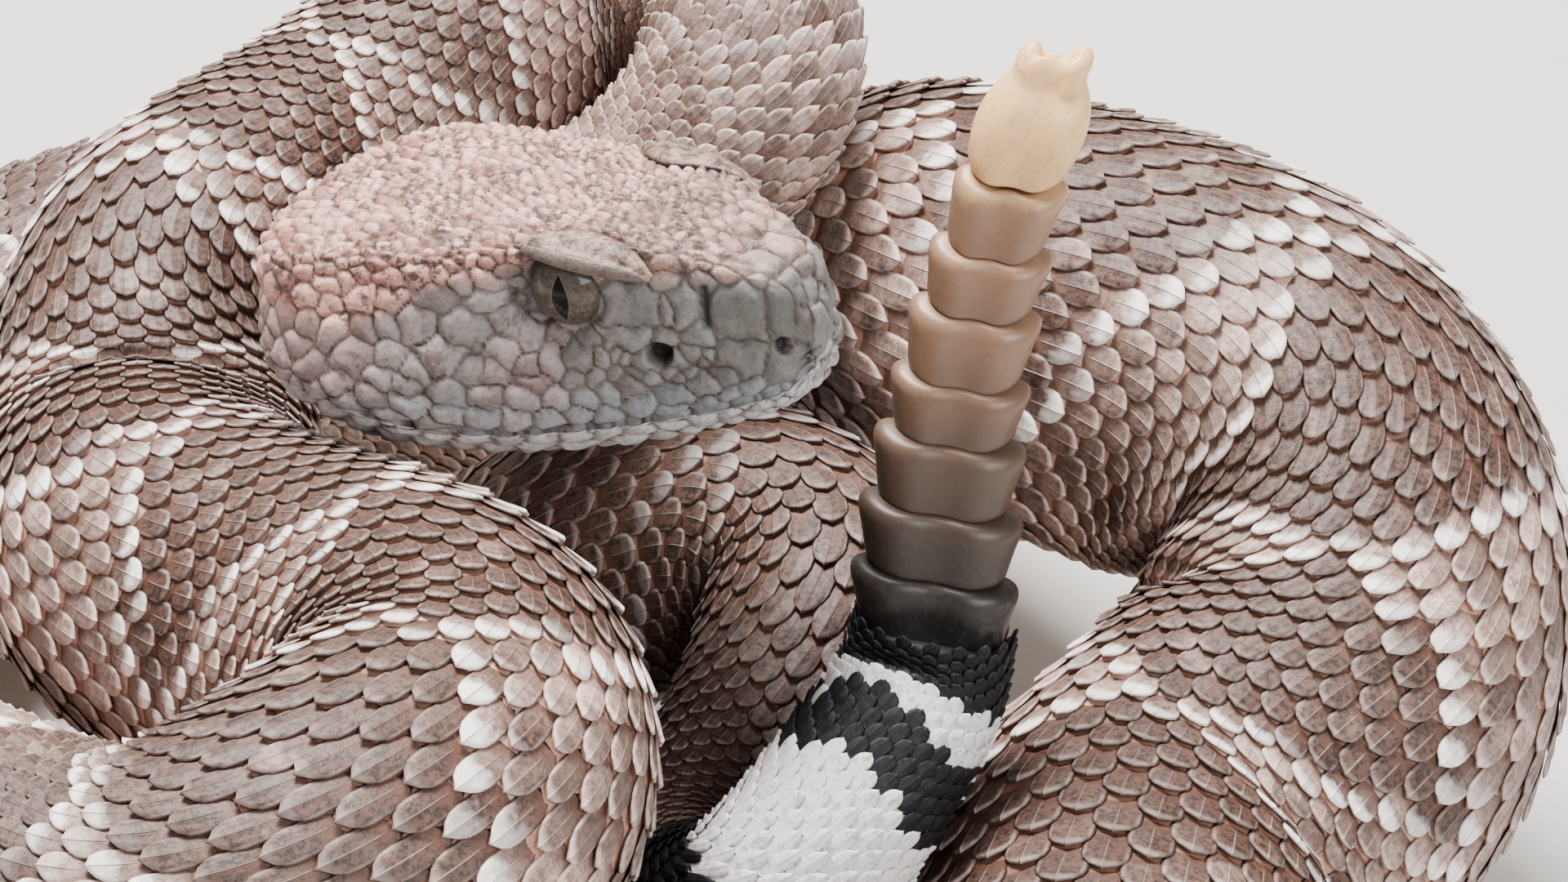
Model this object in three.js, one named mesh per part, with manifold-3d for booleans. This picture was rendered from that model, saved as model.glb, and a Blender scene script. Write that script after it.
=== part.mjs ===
// A coiled western diamondback rattlesnake, life size, in millimetres, +Z up.
// The body is one tube along a coiled line, divided into short lengths.
import * as THREE from 'three';
import Module from 'manifold-3d';

const wasm = await Module();
wasm.setup();

// Control points of the coiled line, from the base of the head to the rattle: x, y, z, body radius.
const coilRows = [
  [-14.6, 10.4, 73.1, 7.5], [-4.7, 22.1, 66.3, 8.7], [8.9, 32, 65.5, 10.6], [18.6, 38.4, 73.1, 11.5],
  [19.2, 48.5, 76.5, 12.2], [13.9, 55.3, 78.3, 12.5], [6, 58.5, 77, 13.2], [-3.9, 55.9, 75.5, 14],
  [-21.3, 41.3, 63.6, 14.9], [-37.2, 25.3, 63.4, 15.9], [-36.2, 10.2, 49.1, 16.8], [-34.9, -8.7, 52.8, 17.2],
  [-19.2, -19.3, 53, 17.6], [-6.4, -30, 55.8, 17.9], [-4.5, -43.1, 55.6, 18.3], [-9.3, -53.2, 57, 18.7],
  [-18.2, -60.7, 53.8, 19.1], [-30.5, -61.4, 47.7, 19.4], [-43.7, -51.2, 44.1, 19.8], [-60.5, -37.2, 40.9, 20.3],
  [-68.5, -15.5, 33.4, 20.5], [-73.3, 9.9, 22.6, 20.8], [-76.6, 32.6, 20.9, 21.1], [-72.5, 55.8, 21.2, 21.1],
  [-62.4, 73.4, 21.3, 21.3], [-46.5, 86.2, 21.3, 21.3], [-27.5, 91.9, 21.5, 21.5], [-8.2, 89.9, 21.6, 21.6],
  [8.1, 81.6, 24.7, 21.7], [26.5, 64.4, 34.2, 21.9], [38.4, 49.8, 47.4, 22], [46, 37.5, 50.8, 22.2],
  [63.4, 30.4, 49.6, 22.4], [73.8, 21.5, 43.3, 22.3], [76, 10.6, 35.5, 22.2], [72.1, -0.7, 28, 22],
  [55.4, -12.1, 21.4, 21.7], [50.2, -30.6, 21.2, 21.1], [46.8, -48.9, 20.6, 20.6], [34.8, -59.6, 20.1, 20.1],
  [20.2, -63, 19.6, 19.6], [5.8, -62.6, 19.1, 19.1], [-10.3, -44.3, 18.3, 18.3], [-30.4, -26.1, 17.6, 17.6],
  [-32.4, -12.1, 17.2, 17.2], [-30.3, 5.2, 16.7, 16.7], [-21.2, 15.6, 17.4, 16.1], [-7.7, 21.6, 23.2, 15.5],
  [5, 21.2, 34.2, 15], [18.4, 18.4, 38.8, 14.1], [26.5, 9.9, 38.1, 13.7], [26.7, -0.9, 36.8, 13.3],
  [21.2, -9, 29.3, 12.8], [14.1, -18.5, 25, 12], [14, -28.4, 26.9, 11.2], [18, -34, 31.9, 10.2],
  [23.6, -34, 38.6, 9.3], [30, -25.1, 43.7, 8.8], [33.5, -19.7, 46, 8.4], [34.9, -16.9, 49.6, 8],
  [35.6, -15.6, 54, 7.6],
];
const bodySides = 16;
const partGap = 0.35;
const floorCling = 0.8;
const foldLimit = 0.9;
const ringBend = 0.3;
const ringStep = [5, 13];
const lengthBend = 1.05;
const lengthMax = 84;
const tailReach = 36;
const dorsalUp = new THREE.Vector3(0, 0, 1);
const tailDorsal = new THREE.Vector3(-0.1, -1, 0.2);
// Tail: rings of black and white over its last stretch, from the vent to the rattle.
const tailLength = 42;
const black = '#16181c';
const chalk = '#cfcac4';
const tailBands = [
  ['tail_black_1', 9.5, black],
  ['tail_white_1', 12, chalk],
  ['tail_black_2', 6.5, black],
  ['tail_white_2', 5, chalk],
  ['tail_black_3', 6, black],
];
const skinColour = '#a08a80';
const scaleFinish = 0.62;

// Head: pose in the coil and sizes measured back from the snout tip.
const headCentre = new THREE.Vector3(0, 0, 76);
const headYaw = 31;
const headPitch = 9;
const snoutReach = 30;
const eyeRadius = 3.7;
const eyePlace = [19, 7.8, 6.8];
const browSize = [6.8, 2.2, 1];
const browPlace = [16.7, 9.1, 10.2];
const browTurns = [-18, 7, -11];
const pitPlace = [10.8, 8.7, 1.2];
const pitSize = [1.2, 2, 0.95];
const nostrilPlace = [0.9, 4.6, 0.9];
const nostrilSize = [0.9, 1.4, 1];
const headFront = -0.6;
const headRear = 53.9;
// Stations: back from snout, lip half width, upper half width, top, upper corner, mouth, jaw bottom.
const headRows = [
  [0, 2.6, 2, 3.6, 3, -1.6, -2.6],
  [0.7, 4.2, 2.9, 5.7, 5.3, -2.2, -4.2],
  [2, 5.5, 4, 7.2, 7, -2.8, -5.4],
  [4, 6.6, 5, 8.1, 7.9, -3.3, -6.4],
  [6.5, 7.6, 6, 9, 8.8, -3.9, -7.3],
  [9, 8.6, 7, 9.9, 9.8, -4.3, -8],
  [11.5, 9.6, 7.9, 10.6, 10.6, -4.7, -8.6],
  [14, 10.6, 8.8, 11.1, 11.1, -5, -9.1],
  [17, 11.8, 9.5, 11.3, 11.1, -5.3, -9.6],
  [20, 13, 9.9, 11.3, 10.9, -5.5, -10],
  [23, 14.2, 10.5, 11.3, 10.5, -5.6, -10.3],
  [27, 15.6, 11.7, 11.3, 9.9, -5.5, -10.6],
  [31, 16.9, 12.8, 11.1, 9.5, -5, -10.7],
  [35, 17.8, 13.6, 10.8, 9.2, -4.3, -10.6],
  [39, 18.2, 14.1, 10.4, 8.9, -3.4, -10.2],
  [43, 18, 14.3, 10, 8.6, -2.6, -9.4],
  [46.5, 16.8, 13.8, 9.5, 8.2, -2, -8.5],
  [49.5, 14.2, 12.2, 8.9, 7.5, -1.6, -7.5],
  [52, 10.2, 9, 7.9, 6.4, -1.2, -6],
  [53.2, 7, 6.2, 6.6, 5.1, -0.9, -4.6],
];
const mouthEnd = 41;
const lipDepth = 0.7;

// Rattle: lengths and widths of its segments from the tail to the tip, and how far the stack bends.
const rattleLengths = [6.1, 6.2, 6.4, 5.4, 6.2, 5.4, 6.1];
const rattleWidths = [14.9, 14.5, 13.4, 12.2, 11.5, 10.7, 9.8];
const rattleThick = 0.56;
const rattleTip = { length: 11, width: 9.1 };
const rattleAxis = new THREE.Vector3(0.16, 0.28, 0.94).normalize();
const rattleBend = 0.0032;
const rattleStraight = 36;
const rattleShift = 0.5;
const rattleSides = 14;
const rattleColours = ['#3b3a3c', '#57524d', '#6b6056', '#86725e', '#9a8468', '#ad9577', '#bfa687'];
// The tail ends short of the line by this much, where the rattle begins.
const tailCut = 3;
const tipColour = '#dcc39a';

function basis(u) {
  return [
    (1 - u) ** 3 / 6,
    (3 * u ** 3 - 6 * u ** 2 + 4) / 6,
    (-3 * u ** 3 + 3 * u ** 2 + 3 * u + 1) / 6,
    u ** 3 / 6,
  ];
}

function rowAt(i) {
  const last = coilRows.length - 1;
  if (i < 0) return coilRows[0].map((v, k) => 2 * v - coilRows[1][k]);
  if (i > last) return coilRows[last].map((v, k) => 2 * v - coilRows[last - 1][k]);
  return coilRows[i];
}

function coilAt(t) {
  const i = Math.min(Math.floor(t), coilRows.length - 2);
  const weights = basis(t - i);
  const out = [0, 0, 0, 0];
  weights.forEach((w, j) => rowAt(i - 1 + j).forEach((v, k) => {
    out[k] += w * v;
  }));
  return out;
}

// The coiled line sampled evenly, with its tangent, bend and the direction of the back.
function sampleCoil() {
  const steps = (coilRows.length - 1) * 40;
  const fine = Array.from({ length: steps + 1 }, (_, i) => coilAt(i / 40));
  const points = fine.map((q) => new THREE.Vector3(q[0], q[1], q[2]));
  const along = [0];
  for (let i = 1; i < points.length; i += 1) along.push(along[i - 1] + points[i].distanceTo(points[i - 1]));
  const total = along[along.length - 1];
  const count = Math.round(total);
  const line = [];
  let j = 0;
  for (let i = 0; i <= count; i += 1) {
    const s = (total * i) / count;
    while (j < along.length - 2 && along[j + 1] < s) j += 1;
    const f = (s - along[j]) / (along[j + 1] - along[j]);
    const at = points[j].clone().lerp(points[j + 1], f);
    line.push({ s, at, radius: fine[j][3] * (1 - f) + fine[j + 1][3] * f });
  }
  line.forEach((q, i) => {
    const a = line[Math.max(i - 2, 0)];
    const b = line[Math.min(i + 2, count)];
    q.along = b.at.clone().sub(a.at).normalize();
  });
  line.forEach((q, i) => {
    const a = line[Math.max(i - 3, 0)];
    const b = line[Math.min(i + 3, count)];
    q.bend = b.along.clone().sub(a.along).divideScalar(Math.max(b.s - a.s, 1e-6));
    const w = THREE.MathUtils.smoothstep(q.s, total - tailReach, total - 6);
    const up = dorsalUp.clone().lerp(tailDorsal, w);
    q.back = up.addScaledVector(q.along, -up.dot(q.along)).normalize();
    q.side = q.along.clone().cross(q.back);
  });
  return line;
}

const coil = sampleCoil();
const coilLength = coil[coil.length - 1].s;

function coilAtLength(s) {
  const x = THREE.MathUtils.clamp((s / coilLength) * (coil.length - 1), 0, coil.length - 1.0001);
  const i = Math.floor(x);
  const f = x - i;
  const mix = (key) => coil[i][key].clone().lerp(coil[i + 1][key], f);
  return {
    at: mix('at'),
    along: mix('along').normalize(),
    back: mix('back').normalize(),
    side: mix('side').normalize(),
    bend: mix('bend'),
    radius: coil[i].radius * (1 - f) + coil[i + 1].radius * f,
  };
}

// A ring of the body: round, pressed thinner on the inside of a tight bend, resting flat on the floor.
function bodyRing(s, sides) {
  const q = coilAtLength(s);
  const ring = [];
  for (let k = 0; k < sides; k += 1) {
    const angle = ((k + 0.5) / sides) * Math.PI * 2;
    const out = q.back.clone().multiplyScalar(Math.cos(angle)).addScaledVector(q.side, Math.sin(angle));
    const fold = q.radius * q.bend.dot(out);
    const start = foldLimit - 0.3;
    const eased = fold > start ? start + 0.3 * (1 - Math.exp((start - fold) / 0.3)) : fold;
    const reach = q.radius * (fold > start ? eased / fold : 1);
    const p = q.at.clone().addScaledVector(out, reach);
    if (p.z < floorCling) p.z = 0;
    ring.push(p);
  }
  return ring;
}

// A closed solid through rings of equal count, with a fan over each end.
function loft(rings, startTip, endTip) {
  const n = rings[0].length;
  const flat = [];
  const centre = (ring) => ring.reduce((a, p) => a.add(p), new THREE.Vector3()).divideScalar(n);
  rings.forEach((ring) => ring.forEach((p) => flat.push(p.x, p.y, p.z)));
  const first = startTip || centre(rings[0]);
  const last = endTip || centre(rings[rings.length - 1]);
  flat.push(first.x, first.y, first.z, last.x, last.y, last.z);
  const faces = [];
  for (let i = 0; i < rings.length - 1; i += 1) {
    for (let k = 0; k < n; k += 1) {
      const m = (k + 1) % n;
      const a = i * n + k;
      const b = i * n + m;
      faces.push(a, b, b + n, a, b + n, a + n);
    }
  }
  const base = (rings.length - 1) * n;
  for (let k = 0; k < n; k += 1) {
    const m = (k + 1) % n;
    faces.push(rings.length * n, m, k);
    faces.push(rings.length * n + 1, base + k, base + m);
  }
  const geometry = new THREE.BufferGeometry();
  geometry.setAttribute('position', new THREE.Float32BufferAttribute(flat, 3));
  geometry.setIndex(faces);
  return geometry;
}

function ringPlaces(from, to) {
  const places = [from];
  let s = from;
  while (s < to) {
    const bend = coilAtLength(Math.min(s + 3, to)).bend.length();
    s += THREE.MathUtils.clamp(ringBend / Math.max(bend, 1e-4), ringStep[0], ringStep[1]);
    places.push(s);
  }
  const stretch = (to - from) / (s - from);
  return places.map((v) => from + (v - from) * stretch);
}

function bodyLength(from, to) {
  return loft(ringPlaces(from, to).map((s) => bodyRing(s, bodySides)));
}

// Ends of the body lengths: each turns through a limited bend and keeps under a limited length.
function lengthEnds(from, to) {
  const ends = [from];
  let turned = 0;
  let start = from;
  coil.forEach((q, i) => {
    if (i === 0 || q.s <= from || q.s > to - 30) return;
    turned += q.along.angleTo(coil[i - 1].along);
    if (turned > lengthBend || q.s - start > lengthMax) {
      ends.push(q.s);
      start = q.s;
      turned = 0;
    }
  });
  ends.push(to);
  return ends;
}

const group = new THREE.Group();

function addPart(name, geometry, colour, roughness) {
  const color = new THREE.Color(colour);
  const material = new THREE.MeshStandardMaterial({ color, roughness, metalness: 0 });
  geometry.computeVertexNormals();
  const mesh = new THREE.Mesh(geometry, material);
  mesh.name = name;
  group.add(mesh);
}

// Solid joins and cuts.
function toSolid(geometry) {
  const position = geometry.attributes.position;
  const vertProperties = Float32Array.from(position.array);
  const triVerts = Uint32Array.from(geometry.index.array);
  return new wasm.Manifold(new wasm.Mesh({ numProp: 3, vertProperties, triVerts }));
}

function fromSolid(solid) {
  const pieces = solid.decompose().sort((a, b) => b.volume() - a.volume());
  const mesh = pieces[0].getMesh();
  const flat = [];
  for (let i = 0; i < mesh.numVert; i += 1) {
    for (let k = 0; k < 3; k += 1) flat.push(mesh.vertProperties[i * mesh.numProp + k]);
  }
  const geometry = new THREE.BufferGeometry();
  geometry.setAttribute('position', new THREE.Float32BufferAttribute(flat, 3));
  geometry.setIndex(Array.from(mesh.triVerts));
  return geometry;
}

// The head frame: forward to the snout, right side, and up.
const yaw = THREE.MathUtils.degToRad(headYaw);
const pitch = THREE.MathUtils.degToRad(headPitch);
const headForward = new THREE.Vector3(
  Math.cos(yaw) * Math.cos(pitch),
  -Math.sin(yaw) * Math.cos(pitch),
  Math.sin(pitch),
);
const headRight = headForward.clone().cross(dorsalUp).normalize();
const headUp = headRight.clone().cross(headForward);

function headPoint(back, right, up) {
  return headCentre.clone()
    .addScaledVector(headForward, snoutReach - back)
    .addScaledVector(headRight, right)
    .addScaledVector(headUp, up);
}

// One station of the head: top, upper corner, cheek, upper lip, mouth groove, lower lip and jaw.
function headRing([back, lip, upper, top, corner, mouth, jaw], clearance) {
  const open = THREE.MathUtils.smoothstep(mouthEnd - back, 0, 5) * Math.min(1, lip / 5);
  const groove = lipDepth * open;
  const half = [
    [0.42 * upper, top * 0.985 + 0.015 * corner],
    [0.8 * upper, 0.45 * top + 0.55 * corner + 0.15],
    [upper, corner - 0.5],
    [0.62 * upper + 0.38 * lip, 0.62 * corner + 0.38 * mouth],
    [0.2 * upper + 0.8 * lip, 0.3 * corner + 0.7 * mouth],
    [lip, mouth + 1.5],
    [lip - 0.15, mouth + 0.4],
    [lip - 0.15 - groove, mouth],
    [lip - 0.45, mouth - 0.4],
    [0.93 * lip - 0.5, 0.62 * mouth + 0.38 * jaw],
    [0.7 * lip, 0.2 * mouth + 0.8 * jaw + 0.1],
    [0.36 * lip, jaw + 0.15],
  ];
  const ring = [[0, top]];
  half.forEach(([x, z]) => ring.push([-x, z]));
  ring.push([0, jaw]);
  half.slice().reverse().forEach(([x, z]) => ring.push([x, z]));
  const middle = (top + jaw) / 2;
  return ring.map(([x, z]) => {
    const grow = 1 + clearance / Math.hypot(x, z - middle);
    return headPoint(back, x * grow, middle + (z - middle) * grow);
  });
}

function headShell(clearance) {
  const rings = headRows.map((row) => headRing(row, clearance));
  const front = headPoint(headFront - clearance, 0, 0.3);
  const rear = headPoint(headRear + clearance, 0, 0.8);
  return toSolid(loft(rings, front, rear));
}

// An egg-shaped lump with three half sizes, placed in the head frame and turned about its own axes.
function headLump(sizes, place, turns, detail) {
  const shape = new THREE.IcosahedronGeometry(1, detail);
  const position = shape.attributes.position;
  const flat = [];
  const index = [];
  const seen = new Map();
  const turn = new THREE.Euler(...turns.map((a) => THREE.MathUtils.degToRad(a)));
  for (let i = 0; i < position.count; i += 1) {
    const p = new THREE.Vector3().fromBufferAttribute(position, i);
    const key = p.toArray().map((v) => v.toFixed(4)).join();
    if (!seen.has(key)) {
      seen.set(key, flat.length / 3);
      p.multiply(new THREE.Vector3(...sizes)).applyEuler(turn);
      const q = headPoint(place[0] - p.x, place[1] + p.y, place[2] + p.z);
      flat.push(q.x, q.y, q.z);
    }
    index.push(seen.get(key));
  }
  for (let i = 0; i < index.length; i += 3) [index[i + 1], index[i + 2]] = [index[i + 2], index[i + 1]];
  const geometry = new THREE.BufferGeometry();
  geometry.setAttribute('position', new THREE.Float32BufferAttribute(flat, 3));
  geometry.setIndex(index);
  return geometry;
}

function buildHead() {
  let head = headShell(0);
  [1, -1].forEach((sign) => {
    const brow = [browPlace[0], sign * browPlace[1], browPlace[2]];
    const turns = [sign * browTurns[0], browTurns[1], sign * browTurns[2]];
    head = head.add(toSolid(headLump(browSize, brow, turns, 2)));
  });
  [1, -1].forEach((sign) => {
    const socket = [eyePlace[0], sign * eyePlace[1], eyePlace[2]];
    const size = eyeRadius + partGap;
    head = head.subtract(toSolid(headLump([size, size, size], socket, [0, 0, 0], 2)));
    const pit = [pitPlace[0], sign * pitPlace[1], pitPlace[2]];
    head = head.subtract(toSolid(headLump(pitSize, pit, [0, 0, sign * 20], 1)));
    const nostril = [nostrilPlace[0], sign * nostrilPlace[1], nostrilPlace[2]];
    head = head.subtract(toSolid(headLump(nostrilSize, nostril, [0, 0, sign * -25], 1)));
  });
  return fromSolid(head);
}

// One ring of a horny segment: flattened, with a groove down each broad face.
function rattleRing(centre, wide, thick, across, through, sides) {
  const ring = [];
  for (let k = 0; k < sides; k += 1) {
    const angle = (k / sides) * Math.PI * 2;
    const c = Math.cos(angle);
    const s = Math.sin(angle);
    const waist = 1 - 0.16 * Math.exp(-((c / 0.34) ** 2));
    const x = Math.sign(c) * Math.abs(c) ** 0.85 * wide;
    const y = Math.sign(s) * Math.abs(s) ** 0.85 * thick * waist;
    ring.push(centre.clone().addScaledVector(across, x).addScaledVector(through, y));
  }
  return ring;
}

// The middle of the rattle at a height above the end of the line.
function rattleCentre(height) {
  const end = coilAtLength(coilLength).at;
  end.x += rattleBend * height * (height - rattleStraight) - rattleShift;
  return end.addScaledVector(rattleAxis, height);
}

// A run of rings from one height to another; the profile gives share of height and of half width.
function rattlePiece(from, to, width, profile) {
  const side = coilAtLength(coilLength).side;
  const across = side.addScaledVector(rattleAxis, -side.dot(rattleAxis)).normalize();
  const through = rattleAxis.clone().cross(across);
  return loft(profile.map(([share, f]) => {
    const wide = (width / 2) * f;
    const centre = rattleCentre(from + share * (to - from));
    return rattleRing(centre, wide, wide * rattleThick + 0.4, across, through, rattleSides);
  }));
}

function buildRattle() {
  let from = 2 * partGap - tailCut;
  rattleLengths.forEach((length, i) => {
    const to = from + length - partGap;
    const profile = [[0, 0.82], [0.1, 0.9], [0.4, 0.94], [0.74, 1], [0.92, 0.97], [1, 0.86]];
    addPart(`rattle_${i + 1}`, rattlePiece(from, to, rattleWidths[i], profile), rattleColours[i], 0.38);
    from += length;
  });
  const profile = [
    [0, 0.84], [0.08, 0.98], [0.26, 1.02], [0.5, 0.9],
    [0.64, 0.8], [0.8, 0.82], [0.94, 0.66], [1, 0.34],
  ];
  const tip = rattlePiece(from, from + rattleTip.length, rattleTip.width, profile);
  addPart('rattle_tip', tip, tipColour, 0.4);
}

// Head and eyes.
addPart('head', buildHead(), '#a69b92', 0.6);
[['eye_right', 1], ['eye_left', -1]].forEach(([name, sign]) => {
  const place = [eyePlace[0], sign * eyePlace[1], eyePlace[2]];
  addPart(name, headLump([eyeRadius, eyeRadius, eyeRadius], place, [0, 0, 0], 2), '#6d675a', 0.15);
});

// Neck, body and the ringed tail.
const neckStart = 1;
const tailStart = coilLength - tailLength;
const ends = lengthEnds(neckStart, tailStart);
ends.slice(1).forEach((end, i) => {
  if (i === 0) {
    const neck = toSolid(bodyLength(neckStart, end)).subtract(headShell(2 * partGap));
    addPart('neck', fromSolid(neck), skinColour, scaleFinish);
    return;
  }
  addPart(`body_${i}`, bodyLength(ends[i] + partGap, end), skinColour, scaleFinish);
});
let bandStart = tailStart;
tailBands.forEach(([name, length, colour]) => {
  addPart(name, bodyLength(bandStart + partGap, bandStart + length), colour, 0.55);
  bandStart += length;
});
buildRattle();

// The origin is under the middle of the whole animal, on the floor.
const box = new THREE.Box3().setFromObject(group);
group.position.set(-(box.min.x + box.max.x) / 2, -(box.min.y + box.max.y) / 2, -box.min.z);

export default group;
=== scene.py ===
import math
import bpy
import numpy as np
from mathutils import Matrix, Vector


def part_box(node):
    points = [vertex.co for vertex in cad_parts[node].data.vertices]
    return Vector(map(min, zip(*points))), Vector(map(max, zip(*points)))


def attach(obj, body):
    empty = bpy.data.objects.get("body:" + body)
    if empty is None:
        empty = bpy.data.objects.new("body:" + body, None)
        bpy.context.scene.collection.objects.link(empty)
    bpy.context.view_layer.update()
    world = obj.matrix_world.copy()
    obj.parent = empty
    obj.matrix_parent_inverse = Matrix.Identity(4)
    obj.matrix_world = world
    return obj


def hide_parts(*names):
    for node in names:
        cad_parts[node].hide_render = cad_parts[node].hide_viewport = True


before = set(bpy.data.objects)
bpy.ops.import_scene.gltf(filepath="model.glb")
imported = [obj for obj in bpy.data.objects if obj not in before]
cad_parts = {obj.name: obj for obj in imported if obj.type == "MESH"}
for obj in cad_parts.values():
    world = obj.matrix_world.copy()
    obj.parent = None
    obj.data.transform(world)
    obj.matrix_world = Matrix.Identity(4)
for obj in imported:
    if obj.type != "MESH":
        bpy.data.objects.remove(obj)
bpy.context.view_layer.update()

rng = np.random.default_rng(7)
mm = 0.001
print("frame loaded:", len(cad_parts), "nodes")

# Coil: the line of the body from the base of the head to the rattle, x y z and body radius, in mm.
coilRows = np.array([
    [-14.6, 10.4, 73.1, 7.5], [-4.7, 22.1, 66.3, 8.7], [8.9, 32, 65.5, 10.6],
    [18.6, 38.4, 73.1, 11.5], [19.2, 48.5, 76.5, 12.2], [13.9, 55.3, 78.3, 12.5],
    [6, 58.5, 77, 13.2], [-3.9, 55.9, 75.5, 14], [-21.3, 41.3, 63.6, 14.9],
    [-37.2, 25.3, 63.4, 15.9], [-36.2, 10.2, 49.1, 16.8], [-34.9, -8.7, 52.8, 17.2],
    [-19.2, -19.3, 53, 17.6], [-6.4, -30, 55.8, 17.9], [-4.5, -43.1, 55.6, 18.3],
    [-9.3, -53.2, 57, 18.7], [-18.2, -60.7, 53.8, 19.1], [-30.5, -61.4, 47.7, 19.4],
    [-43.7, -51.2, 44.1, 19.8], [-60.5, -37.2, 40.9, 20.3], [-68.5, -15.5, 33.4, 20.5],
    [-73.3, 9.9, 22.6, 20.8], [-76.6, 32.6, 20.9, 21.1], [-72.5, 55.8, 21.2, 21.1],
    [-62.4, 73.4, 21.3, 21.3], [-46.5, 86.2, 21.3, 21.3], [-27.5, 91.9, 21.5, 21.5],
    [-8.2, 89.9, 21.6, 21.6], [8.1, 81.6, 24.7, 21.7], [26.5, 64.4, 34.2, 21.9],
    [38.4, 49.8, 47.4, 22], [46, 37.5, 50.8, 22.2], [63.4, 30.4, 49.6, 22.4],
    [73.8, 21.5, 43.3, 22.3], [76, 10.6, 35.5, 22.2], [72.1, -0.7, 28, 22],
    [55.4, -12.1, 21.4, 21.7], [50.2, -30.6, 21.2, 21.1], [46.8, -48.9, 20.6, 20.6],
    [34.8, -59.6, 20.1, 20.1], [20.2, -63, 19.6, 19.6], [5.8, -62.6, 19.1, 19.1],
    [-10.3, -44.3, 18.3, 18.3], [-30.4, -26.1, 17.6, 17.6], [-32.4, -12.1, 17.2, 17.2],
    [-30.3, 5.2, 16.7, 16.7], [-21.2, 15.6, 17.4, 16.1], [-7.7, 21.6, 23.2, 15.5],
    [5, 21.2, 34.2, 15], [18.4, 18.4, 38.8, 14.1], [26.5, 9.9, 38.1, 13.7], [26.7, -0.9, 36.8, 13.3],
    [21.2, -9, 29.3, 12.8], [14.1, -18.5, 25, 12], [14, -28.4, 26.9, 11.2], [18, -34, 31.9, 10.2],
    [23.6, -34, 38.6, 9.3], [30, -25.1, 43.7, 8.8], [33.5, -19.7, 46, 8.4], [34.9, -16.9, 49.6, 8],
    [35.6, -15.6, 54, 7.6],
])
coil = {
    "samples": 60,  # points of the curve for each row above
    "smoothing": 13,  # how many half millimetres its direction is averaged over
    "tailTwist": (36, 30),  # mm before the end where the back starts to turn over, and over how many
    "tailBack": (-0.1, -1, 0.2),
    "foldFree": 0.6,  # share of the radius that a bend may take up before the inside is pressed thinner
    "foldGive": 0.3,
    "floorGap": 0.12,  # mm between the skin and the floor
    "tipGap": 0.03,
}

head = {
    "centre": (0, 0, 76),
    "yaw": 31,
    "pitch": 9,
    "snout": 30,
    "eye": (19, 7.8, 6.8),  # back from the snout, out to the side, up
}

# The head's frame: forward to the snout, out to its right side, and up.
yaw, pitch = math.radians(head["yaw"]), math.radians(head["pitch"])
headForward = np.array([math.cos(yaw) * math.cos(pitch), -math.sin(yaw) * math.cos(pitch), math.sin(pitch)])
headRight = np.cross(headForward, [0, 0, 1])
headRight /= np.linalg.norm(headRight)
headUp = np.cross(headRight, headForward)


# A point given back from the snout, out to the right and up, in mm.
def headPoint(back, right, up):
    back, right, up = np.broadcast_arrays(back, right, up)
    flat = np.array(head["centre"]) + (head["snout"] - back)[..., None] * headForward
    return flat + right[..., None] * headRight + up[..., None] * headUp


# The coil is laid out about the head and moved so that it fits the frame's own eye.
eyeLow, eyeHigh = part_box("eye_right")
eyeHome = headPoint(*[np.float64(v) for v in head["eye"]])
coilShift = (np.array(eyeLow) + np.array(eyeHigh)) / 2 / mm - eyeHome
coilShift[2] = 0


# A mesh from points in mm and lists of faces with the same number of corners each.
def newMesh(name, points, faces, smooth=True):
    mesh = bpy.data.meshes.new(name)
    flat = ((points.reshape(-1, 3) + coilShift) * mm).astype(np.float32)
    groups = [np.asarray(f, dtype=np.int32) for f in faces]
    loops = np.concatenate([g.ravel() for g in groups])
    counts = np.concatenate([np.full(len(g), g.shape[1], dtype=np.int32) for g in groups])
    starts = np.concatenate([[0], np.cumsum(counts)[:-1]]).astype(np.int32)
    mesh.vertices.add(len(flat))
    mesh.vertices.foreach_set("co", flat.ravel())
    mesh.loops.add(len(loops))
    mesh.loops.foreach_set("vertex_index", loops)
    mesh.polygons.add(len(counts))
    mesh.polygons.foreach_set("loop_start", starts)
    mesh.update(calc_edges=True)
    mesh.polygons.foreach_set("use_smooth", np.full(len(counts), smooth, dtype=bool))
    piece = bpy.data.objects.new(name, mesh)
    bpy.context.scene.collection.objects.link(piece)
    return piece


# A UV map from one place for each vertex.
def addUv(piece, name, uv):
    mesh = piece.data
    layer = mesh.uv_layers.new(name=name)
    corner = np.zeros(len(mesh.loops), dtype=np.int32)
    mesh.loops.foreach_get("vertex_index", corner)
    layer.uv.foreach_set("vector", uv.reshape(-1, 2)[corner].astype(np.float32).ravel())


# Three values for each vertex, kept as a colour that the materials read.
def addColour(piece, name, values):
    rgba = np.ones((len(piece.data.vertices), 4), dtype=np.float32)
    rgba[:, : values.shape[-1]] = values.reshape(-1, values.shape[-1])
    layer = piece.data.color_attributes.new(name=name, type="FLOAT_COLOR", domain="POINT")
    layer.data.foreach_set("color", rgba.ravel())


# Quads over a grid of rows and columns; a closed grid joins its last column to its first.
def gridFaces(rows, columns, closed=True, start=0):
    i, j = np.meshgrid(np.arange(rows - 1), np.arange(columns if closed else columns - 1), indexing="ij")
    k = (j + 1) % columns
    quads = np.stack([i * columns + j, i * columns + k, (i + 1) * columns + k, (i + 1) * columns + j], -1)
    return quads.reshape(-1, 4) + start


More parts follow.
